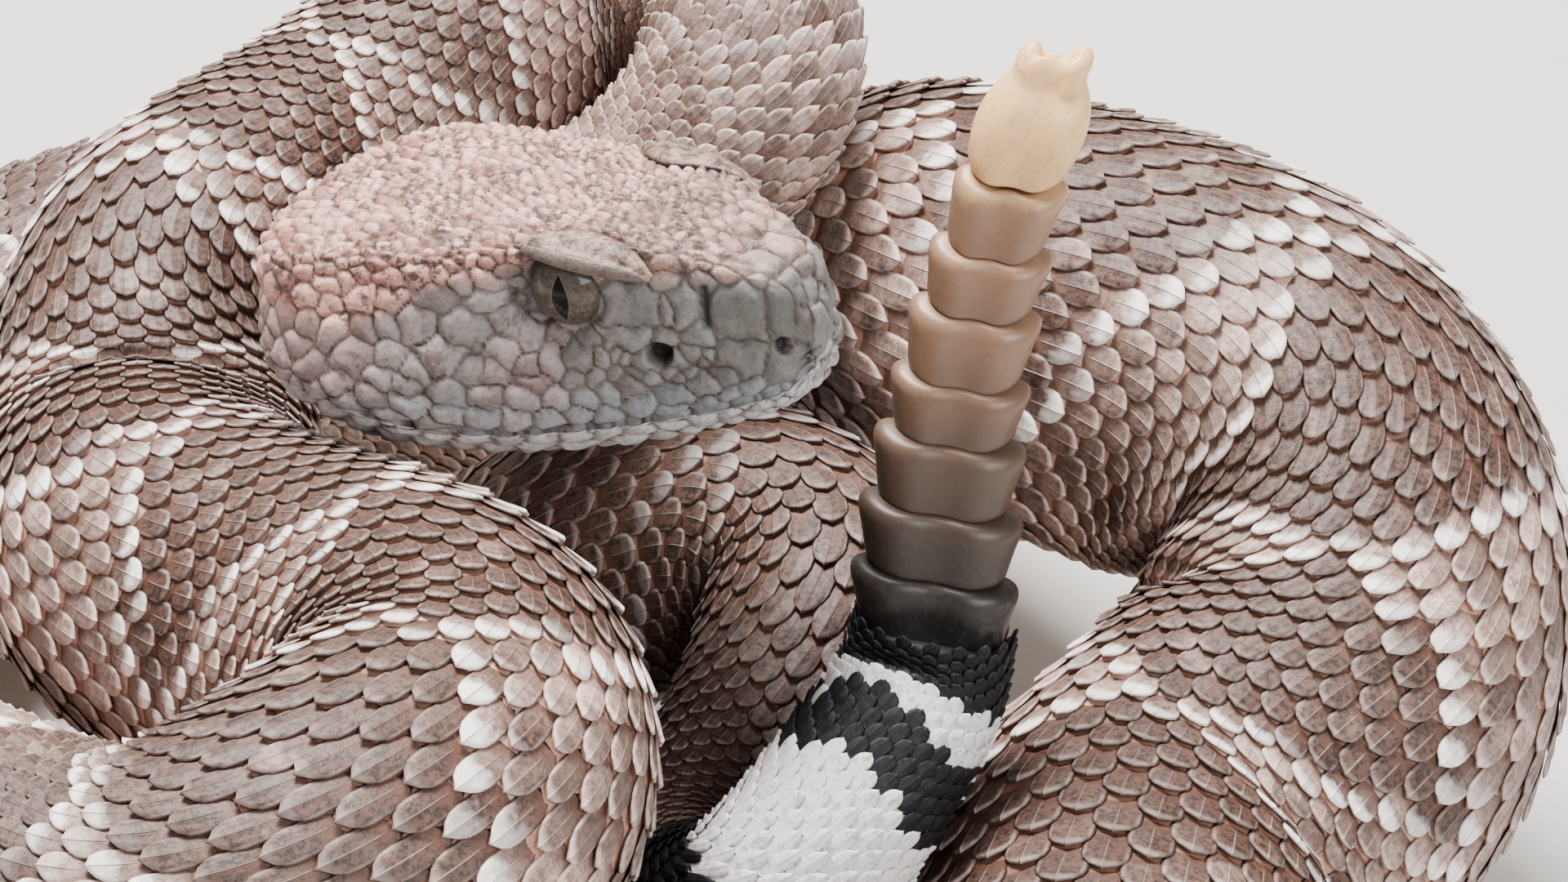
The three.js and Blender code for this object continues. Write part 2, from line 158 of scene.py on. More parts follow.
# Faces of a closed surface through rings of points: quads between rings and a fan over each end.
def ringFaces(rows, columns, start=0):
    k = np.arange(columns)
    after = (k + 1) % columns
    last = start + (rows - 1) * columns
    ends = last + columns  # the two end points follow the rings
    return [
        gridFaces(rows, columns, start=start),
        np.stack([np.full(columns, ends), start + after, start + k], 1),
        np.stack([np.full(columns, ends + 1), last + k, last + after], 1),
    ]


# Values of a ring surface, followed by those of its two end points, the means of the first and last ring.
def withEnds(values):
    flat = values.reshape(-1, values.shape[-1])
    return np.concatenate([flat, values[0].mean(0)[None], values[-1].mean(0)[None]])


def ringSurface(name, rings):
    return newMesh(name, withEnds(rings), ringFaces(*rings.shape[:2]))


# Every piece rides on the one body; some stand for solids of the frame.
def finishPiece(piece, material, slot, *nodes):
    piece.data.materials.append(material)
    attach(piece, "root")
    if nodes:
        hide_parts(*nodes)


# Scale rows: how far apart they stand round the body, and how long one is.
scales = {
    "bellyEdge": 139,  # degrees from the back where the belly plates start
    "rowStepWide": 10.4,  # degrees between rows on the thick body
    "rowStepSlim": 14,
    "fine": 0.74,  # the scales before the last thick loop are this much smaller
    "fineEnd": (600, 650),
    "tailFine": 0.72,
    "longBase": 1.15,  # mm, plus a share of the radius
    "longShare": 0.178,
    "first": 3,
    "pieces": 10,
    "halfLong": 0.62,
    "halfWide": 0.62,
    "lift": 0.9,
    "depth": 0.215,  # mm of coat for each square root of a mm of radius
    "bed": 1.45,  # the skin lies this many coat depths inside the body's own radius
    "jitter": (0.03, 0.02, 0.03, 0.05),  # of place along, place round, size and twist
    "liftLeast": 0.86,
}


# Uniform cubic curve through the coil rows, sampled every half millimetre.
def sampleCoil():
    ends = np.vstack([2 * coilRows[:1] - coilRows[1:2], coilRows, 2 * coilRows[-1:] - coilRows[-2:-1]])
    t = np.linspace(0, len(coilRows) - 1.000001, (len(coilRows) - 1) * coil["samples"])
    i = t.astype(int)
    u = (t - i)[:, None]
    weights = [
        (1 - u) ** 3 / 6,
        (3 * u**3 - 6 * u**2 + 4) / 6,
        (-3 * u**3 + 3 * u**2 + 3 * u + 1) / 6,
        u**3 / 6,
    ]
    line = sum(w * ends[i + k] for k, w in enumerate(weights))
    along = np.concatenate([[0], np.cumsum(np.linalg.norm(np.diff(line[:, :3], axis=0), axis=1))])
    s = np.linspace(0, along[-1], int(along[-1] * 2))
    return s, np.stack([np.interp(s, along, line[:, k]) for k in range(4)], 1)


# A smooth step from 0 at low to 1 at high.
def blend(x, low, high):
    t = np.clip((x - low) / (high - low), 0, 1)
    return t * t * (3 - 2 * t)


def unit(v):
    return v / np.maximum(np.linalg.norm(v, axis=-1, keepdims=True), 1e-9)


# The line's direction, averaged a little, its bend, and the way to the back and to the side.
coilS, coilLine = sampleCoil()
coilLength = coilS[-1]
step = coilS[1]
coilAlong = unit(np.gradient(coilLine[:, :3], axis=0))
softener = np.hanning(coil["smoothing"])
softener /= softener.sum()
padded = np.pad(coilAlong, ((coil["smoothing"] // 2,) * 2, (0, 0)), mode="edge")
coilAlong = unit(np.stack([np.convolve(padded[:, k], softener, "valid") for k in range(3)], 1))
coilBend = np.gradient(coilAlong, step, axis=0)
turnFrom = coilLength - coil["tailTwist"][0]
tailTurn = blend(coilS, turnFrom, turnFrom + coil["tailTwist"][1])[:, None]
towards = (1 - tailTurn) * np.array([0, 0, 1.0]) + tailTurn * np.array(coil["tailBack"])
coilBack = unit(towards - (towards * coilAlong).sum(1, keepdims=True) * coilAlong)
coilSide = np.cross(coilAlong, coilBack)
coilTable = np.hstack([coilLine[:, :3], coilBack, coilSide, coilBend, coilLine[:, 3:]])


def radiusAt(s):
    return np.interp(s, coilS, coilLine[:, 3])


# A point of the body: out from the line by the body's radius less the coat's depth plus a height,
# pressed thinner on the inside of a tight bend, and never below the floor.
def bodyPoint(s, angle, height, least=coil["floorGap"]):
    x = np.clip(s / step, 0, len(coilS) - 1.001)
    i = x.astype(int)
    f = (x - i)[..., None]
    q = coilTable[i] * (1 - f) + coilTable[i + 1] * f
    out = q[..., 3:6] * np.cos(angle)[..., None] + q[..., 6:9] * np.sin(angle)[..., None]
    radius = q[..., 12]
    fold = radius * (q[..., 9:12] * out).sum(-1)
    free, give = coil["foldFree"], coil["foldGive"]
    eased = free + give * (1 - np.exp(-np.maximum(fold - free, 0) / give))
    squeeze = np.where(fold > free, eased / np.maximum(fold, free), 1)
    point = q[..., :3] + out * (radius * squeeze - scales["bed"] * coatDepth(s) + height)[..., None]
    point[..., 2] = np.maximum(point[..., 2], least)
    return point


# The coat is thinner on the slim neck and tail.
def coatDepth(s):
    return scales["depth"] * np.sqrt(radiusAt(s))


# Angle between scale rows: wider on a slim body, which has fewer rows.
def rowStepAt(s):
    slim = np.clip((21 - radiusAt(s)) / 13, 0, 1)
    degrees = scales["rowStepWide"] + (scales["rowStepSlim"] - scales["rowStepWide"]) * slim
    return np.radians(degrees) * fineness(s)


# Share of the full scale size: small on the front of the body and again on the tail.
def fineness(s):
    body = scales["fine"] + (1 - scales["fine"]) * blend(s, *scales["fineEnd"])
    return body * (1 - (1 - scales["tailFine"]) * blend(s, coilLength - 90, coilLength - 45))


# Length of one scale along the line, and how many scales lie before each place.
pitchAt = (scales["longBase"] + scales["longShare"] * coilLine[:, 3]) * fineness(coilS)
scaleCount = np.concatenate([[0], np.cumsum(step / pitchAt[:-1])])


def placeOfScale(n):
    return np.interp(n, scaleCount, coilS)


def pitchOf(s):
    return np.interp(s, coilS, pitchAt)


# Markings: diamonds down the back edged by lines of white scales, spots along the flanks, tail rings.
markings = {
    "diamond": 7.4,  # scales from one diamond to the next
    "start": 3.0,
    "reach": 11.5,  # rows from the back to a diamond's corner
    "white": (1.65, 1.02, 11),  # each line: strength, distance from the diamond's middle and sharpness
    "rim": (1.7, 0.76, 7),
    "inside": (0.8, 0.85, 5),
    "spot": (1.5, 1.2, 0.8),  # strength, rows below the corner and sharpness
    "fadeIn": (30, 90),  # mm from the head where the marks start, and over how many they grow
    "fadeOut": 60,
    "darkRearAndShade": 0.95,  # the last of the body is darker all over: a darker rear body and painted shade where it lies under the head and rattle
    "darkRearAndShadeFrom": (780, 815),
    "tailRings": (9.5, 12, 6.5, 5, 6),  # black and white by turns, from the vent
    "tailLength": 42,
    "tailCut": 3,  # the tail ends this much short of the line, inside the rattle
}


# A line of given strength and sharpness at one distance.
def lineAt(far, strength, middle, sharp):
    return np.clip(strength - np.abs(far - middle) * sharp, 0, 1)


# Dark and white values for places given by scale count, row and mm along. The distance from a diamond's
# middle is the share along plus the share across; rim and white line lie at one such distance each.
def markingAt(n, row, s):
    x = (n - markings["start"]) / markings["diamond"]
    x = np.abs(x - np.round(x)) * 2
    far = x + np.abs(row) / markings["reach"]
    white = lineAt(far, *markings["white"])
    rim = lineAt(far, *markings["rim"])
    fill, edge, sharp = markings["inside"]
    inside = np.clip((edge - far) * sharp, 0, 1)
    strength, below, spotSharp = markings["spot"]
    flank = np.hypot((1 - x) * markings["diamond"] / 2, np.abs(row) - markings["reach"] - below)
    spot = np.clip(strength - flank * spotSharp, 0, 1)
    dark = np.clip(np.maximum(rim, inside * fill) + spot, 0, 1)
    # A darker rear body with painted shade where the last of the body lies under the head and rattle.
    darkRearAndShade = blend(s, *markings["darkRearAndShadeFrom"])
    dark = np.maximum(dark, markings["darkRearAndShade"] * darkRearAndShade)
    begin, over = markings["fadeIn"]
    fade = np.clip((s - begin) / over, 0, 1)
    fade = fade * np.clip((coilLength - markings["fadeOut"] - s) / markings["fadeOut"], 0, 1)
    return dark * (0.35 + 0.65 * np.maximum(fade, darkRearAndShade)), white * fade * (1 - 0.7 * darkRearAndShade)


# Which tail ring a place lies in, counted from the vent; even rings are black.
def tailRing(s):
    edges = coilLength - markings["tailLength"] + np.cumsum((0,) + markings["tailRings"])
    return np.clip(np.searchsorted(edges, s, side="right") - 1, 0, len(markings["tailRings"]) - 1)


print("coil:", round(float(coilLength)), "mm")


# Skin: one closed tube under the coat, from inside the head to the rattle.
skin = {"stepAlong": 2.2, "around": 56, "start": 1.0, "headEvery": 2}


def makeSkin(material):
    rows = int((coilLength - skin["start"]) / skin["stepAlong"])
    s = np.linspace(skin["start"], coilLength - markings["tailCut"], rows)
    angle = np.linspace(0, 2 * math.pi, skin["around"], endpoint=False)
    s, angle = np.meshgrid(s, angle, indexing="ij")
    tube = bodyPoint(s, angle, 0.0)
    core = toHead(headCore()[:: skin["headEvery"], :: skin["headEvery"]])
    tubePoints, corePoints = withEnds(tube), withEnds(core)
    faces = ringFaces(*tube.shape[:2]) + ringFaces(*core.shape[:2], start=len(tubePoints))
    piece = newMesh("skin", np.vstack([tubePoints, corePoints]), faces)
    tubeUv = withEnds(np.stack([s / coilLength, angle / (2 * math.pi)], -1))
    addUv(piece, "OFBake", np.vstack([tubeUv, np.full((len(corePoints), 2), 0.5)]))
    row = ((angle + math.pi) % (2 * math.pi) - math.pi) / rowStepAt(s)
    dark, white = markingAt(np.interp(s, coilS, scaleCount), row, s)
    ring = np.where(s < coilLength - markings["tailLength"], 0, 1 - 0.5 * (tailRing(s) % 2))
    marks = withEnds(np.stack([dark, white, ring], -1))
    addColour(piece, "marks", np.vstack([marks, np.zeros_like(corePoints)]))
    flesh = [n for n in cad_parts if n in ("head", "neck") or n.startswith(("body_", "tail_"))]
    finishPiece(piece, material, "body_skin", *flesh)
    print("skin:", len(tubePoints) + len(corePoints), "points for", len(flesh), "nodes")


bakeHalf = 0.0015  # half size of one scale's patch on the bake map


# A field of plates: each is a small curved shield given by its place, half sizes and shape.
# Over the shield t runs from root to free tip and v from edge to edge, both from -1 to 1.
def makePlates(name, place, shape, colours, material, slot):
    t = np.array(shape["t"])
    v = np.array(shape["v"])
    rows, columns = len(t), len(v)
    tt, vv = np.meshgrid(t, v, indexing="ij")
    width = np.maximum((1 - np.abs(tt + shape["shift"]) ** shape["square"]), 0) ** shape["round"]
    width = np.maximum(width / width.max(), shape["blunt"])
    rise = shape["rise"](tt)
    rim = np.maximum(np.abs(vv) > 0.999, tt > 0.999)
    dome = 1 - shape["dome"] * vv**2 - shape["bevel"] * rim + shape["keel"] * np.exp(-((vv / 0.1) ** 2))
    keys = ("s", "angle", "halfLong", "halfWide", "lift", "twist")
    s, angle, halfLong, halfWide, lift, twist = [place[k][:, None, None] for k in keys]
    alongPart = halfLong * (tt + twist * vv * width - shape["bow"] * np.abs(vv) ** 1.3 * blend(tt, 0, 1))
    height = coatDepth(s) * lift * (rise * dome)
    points = bodyPoint(s + alongPart, angle + halfWide * width * vv / radiusAt(s), height, coil["tipGap"])
    count = len(place["s"])
    offsets = (np.arange(count) * rows * columns)[:, None, None]
    quads = gridFaces(rows, columns, closed=False)[None] + offsets
    i = np.arange(rows - 1) * columns
    under = np.stack([i, i + columns, i + 2 * columns - 1, i + columns - 1], 1)[None] + offsets
    rootEnd = np.arange(columns)[::-1][None, None] + offsets
    tipEnd = (np.arange(columns) + (rows - 1) * columns)[None, None] + offsets
    faces = [quads.reshape(-1, 4), under.reshape(-1, 4)]
    faces += [rootEnd.reshape(-1, columns), tipEnd.reshape(-1, columns)]
    piece = newMesh(name, points, faces)
    local = np.stack([vv * width * 0.5 + 0.5, tt * 0.5 + 0.5], -1)
    addUv(piece, "scaleUV", np.broadcast_to(local, (count, rows, columns, 2)))
    root = np.stack([s / coilLength, angle / (2 * math.pi) % 1], -1)
    addUv(piece, "OFBake", root + bakeHalf * np.stack([vv, tt], -1)[None])
    addColour(piece, "marks", np.broadcast_to(colours[:, None, None, :], (count, rows, columns, 3)))
    finishPiece(piece, material, slot)


# How a scale of the back and a belly plate are cut: grid, outline, rise from root to tip and crown.
backShape = {
    "t": (-1, -0.6, -0.15, 0.3, 0.64, 0.88, 1),
    "v": (-1, -0.86, -0.46, -0.14, 0, 0.14, 0.46, 0.86, 1),
    "shift": -0.03,
    "square": 2.9,
    "round": 0.5,
    "blunt": 0.3,
    "bow": 0.15,
    "rise": lambda t: -0.25 + 1.25 * (0.5 + 0.5 * t) ** 0.75,
    "dome": 0.2,
    "bevel": 0.26,
    "keel": 0.2,
}
bellyShape = {
    "t": (-1, -0.5, 0, 0.5, 0.86, 1),
    "v": (-1, -0.96, -0.8, -0.6, -0.4, -0.2, 0, 0.2, 0.4, 0.6, 0.8, 0.96, 1),
    "shift": 0.0,
    "square": 9,
    "round": 0.3,
    "blunt": 0.8,
    "bow": 0.0,
    "rise": lambda t: 0.1 + 0.85 * (0.5 + 0.5 * t),
    "dome": 0.0,
    "bevel": 0.2,
    "keel": 0.0,
}
belly = {"first": 4.25, "overlap": 0.25, "halfLong": 0.62, "lift": 0.8}

lastScale = float(np.interp(coilLength - markings["tailCut"], coilS, scaleCount)) + 0.25


# Every scale of the back and sides: rows staggered by half a scale, dropped where the belly begins.
def placeScales():
    n, row = np.meshgrid(np.arange(scales["first"], lastScale), np.arange(-19, 20), indexing="ij")
    n = (n + 0.5 * (row % 2)).ravel()
    row = row.ravel()
    s = placeOfScale(n)
    angle = row * rowStepAt(s)
    keep = (np.abs(angle) < np.radians(scales["bellyEdge"]) - 0.3 * rowStepAt(s)) & (n < lastScale)
    n, row, s, angle = n[keep], row[keep], s[keep], angle[keep]
    count = len(n)
    pitch = pitchOf(s)
    spread = rowStepAt(s) * radiusAt(s)
    alongBy, roundBy, sizeBy, twistBy = scales["jitter"]
    place = {
        "s": s + rng.normal(0, alongBy, count) * pitch,
        "angle": angle + rng.normal(0, roundBy, count) * rowStepAt(s),
        "halfLong": pitch * scales["halfLong"] * rng.normal(1, sizeBy, count),
        "halfWide": spread * scales["halfWide"] * rng.normal(1, sizeBy, count),
        "lift": scales["lift"] * rng.uniform(scales["liftLeast"], 1, count),
        "twist": rng.normal(0, twistBy, count),
    }
    dark, white = markingAt(n, row, s)
    colours = np.stack([dark, white, rng.uniform(0, 1, count)], 1)
    return place, colours


def pickPlaces(place, mask):
    return {key: values[mask] for key, values in place.items()}


# The coat is cut into pieces along the body; the tail's scales go to black or white by their ring.
def makeCoat(material, tailWhite, tailBlack):
    place, colours = placeScales()
    tailStart = coilLength - markings["tailLength"]
    body = place["s"] < tailStart
    edges = np.linspace(0, tailStart, scales["pieces"] + 1)
    for i in range(scales["pieces"]):
        part = body & (place["s"] >= edges[i]) & (place["s"] < edges[i + 1])
        name = f"scales_{i + 1}"
        makePlates(name, pickPlaces(place, part), backShape, colours[part], material, "body_skin")
    ring = tailRing(place["s"] + rng.normal(0, 0.9, len(place["s"])))
    for name, odd, finish, slot in (
        ("tailScalesBlack", 0, tailBlack, "tail_black"),
        ("tailScalesWhite", 1, tailWhite, "tail_white"),
    ):
        part = ~body & (ring % 2 == odd)
        makePlates(name, pickPlaces(place, part), backShape, colours[part], finish, slot)
    print("scales:", len(place["s"]))


# Belly plates: one for each scale along, as wide as the gap that the side rows leave.
def makeBelly(material, tailWhite, tailBlack):
    s = placeOfScale(np.arange(belly["first"], lastScale))
    half = math.pi - np.radians(scales["bellyEdge"]) + belly["overlap"] * rowStepAt(s)
    place = {
        "s": s,
        "angle": np.full(len(s), math.pi),
        "halfLong": pitchOf(s) * belly["halfLong"],
        "halfWide": half * radiusAt(s),
        "lift": np.full(len(s), belly["lift"]),
        "twist": np.zeros(len(s)),
    }
    colours = np.stack([np.zeros(len(s)), np.zeros(len(s)), rng.uniform(0, 1, len(s))], 1)
    tailStart = coilLength - markings["tailLength"]
    ring = tailRing(s)
    for name, part, finish, slot in (
        ("bellyPlates", s < tailStart, material, "body_skin"),
        ("tailBellyWhite", (s >= tailStart) & (ring % 2 == 1), tailWhite, "tail_white"),
        ("tailBellyBlack", (s >= tailStart) & (ring % 2 == 0), tailBlack, "tail_black"),
    ):
        makePlates(name, pickPlaces(place, part), bellyShape, colours[part], finish, slot)
    print("belly plates:", len(s))


# Head: its stations back from the snout tip, in mm. Each gives the lip half width, upper half width,
# top, upper corner, mouth and jaw.
headRows = np.array([
    [0, 2.6, 2, 3.6, 3, -1.6, -2.6],
    [0.7, 4.2, 2.9, 5.7, 5.3, -2.2, -4.2],
    [2, 5.5, 4, 7.2, 7, -2.8, -5.4],
    [4, 6.6, 5, 8.1, 7.9, -3.3, -6.4],
    [6.5, 7.6, 6, 9, 8.8, -3.9, -7.3],
    [9, 8.6, 7, 9.9, 9.8, -4.3, -8],
    [11.5, 9.6, 7.9, 10.6, 10.6, -4.7, -8.6],
    [14, 10.6, 8.8, 11.1, 11.1, -5, -9.1],
    [17, 11.8, 9.5, 11.3, 11.1, -5.3, -9.6],
    [20, 13, 9.9, 11.3, 10.9, -5.5, -10],
    [23, 14.2, 10.5, 11.3, 10.5, -5.6, -10.3],
    [27, 15.6, 11.7, 11.3, 9.9, -5.5, -10.6],
    [31, 16.9, 12.8, 11.1, 9.5, -5, -10.7],
    [35, 17.8, 13.6, 10.8, 9.2, -4.3, -10.6],
    [39, 18.2, 14.1, 10.4, 8.9, -3.4, -10.2],
    [43, 18, 14.3, 10, 8.6, -2.6, -9.4],
    [46.5, 16.8, 13.8, 9.5, 8.2, -2, -8.5],
    [49.5, 14.2, 12.2, 8.9, 7.5, -1.6, -7.5],
    [52, 10.2, 9, 7.9, 6.4, -1.2, -6],
    [53.2, 7, 6.2, 6.6, 5.1, -0.9, -4.6],
])
headForm = {
    "caps": (0.6, 0.7),  # how far the snout and the rear round out past the first and last station
    "capMiddle": (0.3, 0.8),
    "mouthEnd": 41,
    "lipDepth": 0.7,
    "capTurn": (1.45, 0.12, 9),  # first and last angle of the rounding, and its rows
    "corners": 26,
    "outlineAt": 30.0,  # the section that sets how the columns are spread
    "columns": 400,
    "rowSteps": ((0, 25, 125), (25, 53.2, 96)),  # from, to, rows
    "spacing": (0.17, 0.2, 0.13, 0.42),  # mm between columns on top, wall, lips and jaw
    "groove": 0.5,  # how deep the grooves between scales lie in the solid head
    "core": 0.8,  # the plain skin inside is this share of the head's own width and height
    "coreEnds": (1.3, 1.4),  # and stops this far from the snout and from the rear
    "coreMiddle": 0.5,
}


# Cubic curves through the rows of a table, with slopes taken from neighbouring rows.
def smoothRows(x, places, values):
    slope = np.gradient(values, places, axis=0)
    i = np.clip(np.searchsorted(places, x) - 1, 0, len(places) - 2)
    gap = (places[i + 1] - places[i])[:, None]
    u = (x - places[i])[:, None] / gap
    start = (2 * u**3 - 3 * u**2 + 1) * values[i] + (u**3 - 2 * u**2 + u) * gap * slope[i]
    return start + (3 * u**2 - 2 * u**3) * values[i + 1] + (u**3 - u**2) * gap * slope[i + 1]


# Weights that turn the corners of a closed ring into points of the smooth curve through them.
def ringWeights(q, corners):
    i = np.floor(q).astype(int)
    t = q - i
    weights = np.zeros((len(q), corners))
    parts = (
        (-t**3 + 2 * t**2 - t) / 2,
        (3 * t**3 - 5 * t**2 + 2) / 2,
        (-3 * t**3 + 4 * t**2 + t) / 2,
        (t**3 - t**2) / 2,
    )
    for k, part in enumerate(parts):
        np.add.at(weights, (np.arange(len(q)), (i + k - 1) % corners), part)
    return weights


# Cross-sections of the head as 26 corners, out and up, from the top by the right side to the chin and back.
def headSections(back):
    inside = np.clip(back, headRows[0, 0], headRows[-1, 0])
    lip, upper, top, corner, mouth, jaw = smoothRows(inside, headRows[:, 0], headRows[:, 1:]).T
    groove = headForm["lipDepth"] * blend(headForm["mouthEnd"] - back, 0, 5) * np.minimum(1, lip / 5)
    zero = np.zeros_like(lip)
    half = np.array([
        (zero, top),
        (0.42 * upper, 0.985 * top + 0.015 * corner),
        (0.8 * upper, 0.45 * top + 0.55 * corner + 0.15),
        (upper, corner - 0.5),
        (0.62 * upper + 0.38 * lip, 0.62 * corner + 0.38 * mouth),
        (0.2 * upper + 0.8 * lip, 0.3 * corner + 0.7 * mouth),
        (lip, mouth + 1.5),
        (lip - 0.15, mouth + 0.4),
        (lip - 0.15 - groove, mouth),
        (lip - 0.45, mouth - 0.4),
        (0.93 * lip - 0.5, 0.62 * mouth + 0.38 * jaw),
        (0.7 * lip, 0.2 * mouth + 0.8 * jaw + 0.1),
        (0.36 * lip, jaw + 0.15),
        (zero, jaw),
    ]).transpose(2, 0, 1)
    ring = np.concatenate([half, half[:, -2:0:-1] * (-1, 1)], 1)
    before, after = headForm["caps"]
    past = np.maximum(-back / before, (back - headRows[-1, 0]) / after)
    shrink = np.sqrt(1 - np.clip(past, 0, 1) ** 2)[:, None, None]
    middle = np.where(back < 1, *headForm["capMiddle"])[:, None] * (0, 1)
    return middle[:, None] + (ring - middle[:, None]) * shrink


# Places of the rows along the head and of the columns round it.
def headGrid():
    turn = np.linspace(*headForm["capTurn"])
    rows = [-headForm["caps"][0] * np.sin(turn)]
    rows += [np.linspace(a, b, n, endpoint=False) for a, b, n in headForm["rowSteps"]]
    rows.append(headRows[-1, 0] + headForm["caps"][1] * np.sin(turn[::-1]))
    corners = headForm["corners"]
    fine = np.linspace(0, corners // 2, 1301)
    outline = ringWeights(fine, corners) @ headSections(np.array([headForm["outlineAt"]]))[0]
    length = np.linalg.norm(np.diff(outline, axis=0), axis=1)
    top, wall, lips, jaw = headForm["spacing"]
    spacing = np.interp(fine[1:], (2.8, 3.2, 5.8, 6.2, 9.4, 10), (top, wall, wall, lips, lips, jaw))
    count = np.concatenate([[0], np.cumsum(length / spacing)])
    half = np.interp(np.linspace(0, count[-1], headForm["columns"] // 2 + 1), count, fine)
    return np.concatenate(rows), np.concatenate([corners - half, half[-2:0:-1]])


# Scales of the right side that stand out, each by back from the snout, up, half length and half height.
sideScales = {
    "nose": [
        (1.1, 4.2, 1.3, 3.2), (0.1, 2.5, 1.1, 1.7), (0.8, -0.5, 1.7, 1.8), (4.3, 0.7, 1.9, 1.6),
    ],
    "loreal": [
        (4.4, 4.7, 2.2, 2.4), (8.7, 5.4, 1.2, 2.6), (9.7, 7.8, 1.5, 1.0), (5.3, 8.2, 1.5, 0.9),
        (9.6, 9.4, 2.2, 0.9), (10, 4.7, 0.7, 1.6), (8.5, 1.4, 1.1, 1), (10, -0.2, 1, 0.6),
    ],
    "preocular": [
        (12.9, 5.7, 2.6, 2.2), (13.1, 2.7, 2.8, 1.3),
    ],
    "beads": [
        (6.9, 1.1, 0.6, 0.6), (7.3, 0.3, 0.6, 0.5), (8.4, -0.3, 0.8, 0.6), (9.3, -1, 0.7, 0.5),
        (11.7, -0.8, 0.9, 0.7), (12.9, -0.2, 0.7, 0.7), (13.5, 0.9, 0.7, 0.8), (14.4, 1.6, 0.6, 0.9),
        (14.3, -0.3, 0.8, 0.8), (15.1, -2.1, 1.1, 1.1), (5.7, -0.9, 1.2, 0.9), (7.3, -1.6, 1.4, 1.1),
    ],
    "upperLip": [
        (3.5, -2.2, 1.1, 1), (5.4, -2.8, 1.1, 0.9), (9.9, -2.4, 1.6, 1), (12.7, -3.3, 1.5, 1.2),
        (15.4, -4.2, 1.4, 0.9), (17.7, -4.1, 1.3, 0.9), (20.2, -4.2, 1.4, 1), (22.9, -4.2, 1.4, 1.1),
        (25.7, -4, 1.5, 1.1), (28.8, -3.7, 1.6, 1.1), (32.1, -2.8, 1.6, 1.1), (35.6, -2.1, 1.8, 1.1),
        (39.1, -1.5, 1.7, 1.1),
    ],
    "eyeRing": [
        (23, 9.9, 1, 0.9), (24, 8.3, 1, 0.8), (23.1, 7, 0.7, 0.8), (22.9, 5.5, 0.8, 0.8),
        (21.9, 4.1, 0.9, 0.8), (19.8, 2.7, 1.5, 0.7), (16.8, 2.7, 1.5, 0.7),
    ],
    "underEye": [
        (17.6, 1.2, 1.6, 1.2), (19.9, 0.8, 1.1, 1.1), (15.7, 1.1, 0.8, 1.1), (17.9, -0.8, 1, 0.9),
        (16.1, -0.6, 0.9, 0.9), (19.5, -2.5, 1.3, 1), (17.1, -2.3, 1.2, 1), (21.6, 0.5, 1.1, 1),
        (21.3, -0.9, 1.1, 0.9), (22.2, -2.4, 1.4, 1.1), (25.5, -1.9, 1.5, 1.2), (28.4, -1.5, 1.5, 1.2),
    ],
    "temple": [
        (25.7, 5.9, 1.5, 0.9), (24.3, 4.4, 0.9, 0.9), (27, 3.6, 2.4, 1.4), (29.4, 1.3, 2.4, 1.5),
        (23.9, 2, 1.5, 1.2), (25, -0.1, 1.2, 1.1), (34, 1.5, 1.5, 1.4), (32, 3.9, 1.8, 1.5),
        (34.8, -0.3, 1.4, 1.1), (32.2, -0.8, 1.3, 1.1), (37.3, 1.7, 1.8, 1.5), (39.2, 3.2, 1.6, 1.5),
        (42.2, 3.5, 1.4, 1.3), (40, 5, 1.3, 1), (42.6, 5.4, 1.3, 1.1), (36.8, 6, 1.7, 1.2),
        (34, 5.9, 1.6, 1.2), (40, 6.9, 1.8, 0.8), (34, 7.8, 1.9, 0.8), (30, 6.4, 1.7, 1.1),
    ],
    "lowerLip": [
        (3.4, -4.4, 1.4, 1), (5.9, -5.1, 1.3, 1), (8.4, -5.6, 1.3, 1), (11, -6, 1.3, 1),
        (13.6, -6.3, 1.3, 1), (16.2, -6.6, 1.4, 1), (18.9, -6.8, 1.4, 1), (21.6, -7, 1.4, 1),
        (24.4, -6.9, 1.5, 1), (27.4, -6.7, 1.6, 1), (30.5, -6.3, 1.6, 1), (33.6, -5.7, 1.6, 1),
        (36.8, -4.9, 1.6, 1),
    ],
}
# Plates on top of the snout, by back, out, half length and half width.
topPlates = [(3.5, 1.5, 1.9, 1.5), (4.6, 3.7, 1.6, 0.9), (7.5, 4.6, 1.9, 0.8), (1.3, 1.3, 0.9, 1.4),
             (6.8, 1.2, 1.2, 1.1), (7.3, 2.9, 1.3, 0.8), (45.3, 7.3, 1.3, 1.3)]
scaleField = {
    "snoutHalf": 0.8,  # half size of the small scales on the snout, between the brows and at the rear
    "browHalf": 0.6,
    "rearHalf": 0.9,
    "sideHalf": 1.3,
    "jawHalf": 1.6,
    "settle": 5,
    "sample": 30000,  # places of the grid that the small scales are settled on
    "clear": 1.25,  # how far they keep from the named ones, in half sizes
    "stretch": (1.15, 0.9, 1),
    "relief": (0.16, 0.24),  # height of a scale: a base and a share of its half size
    "reliefMost": 0.62,
    "wave": 0.16,  # mm, how far the scales' edges wander
}
eyeForm = {"radius": 3.7, "open": 3.3, "slope": 0.6, "sink": 0.7, "gaze": (0.24, 0.97, 0.05)}
hollows = {
    "pit": {"place": (10.8, 9, 1.25), "size": (1.1, 4, 1.1), "depth": 2.3},
    "nostril": {"place": (0.9, 4.4, 1.4), "size": (0.8, 0.9, 0.8), "depth": 1.3},
    "slit": {"place": (6.9, 7.5, 5.3), "size": (0.34, 9, 2), "depth": 0.8},
}


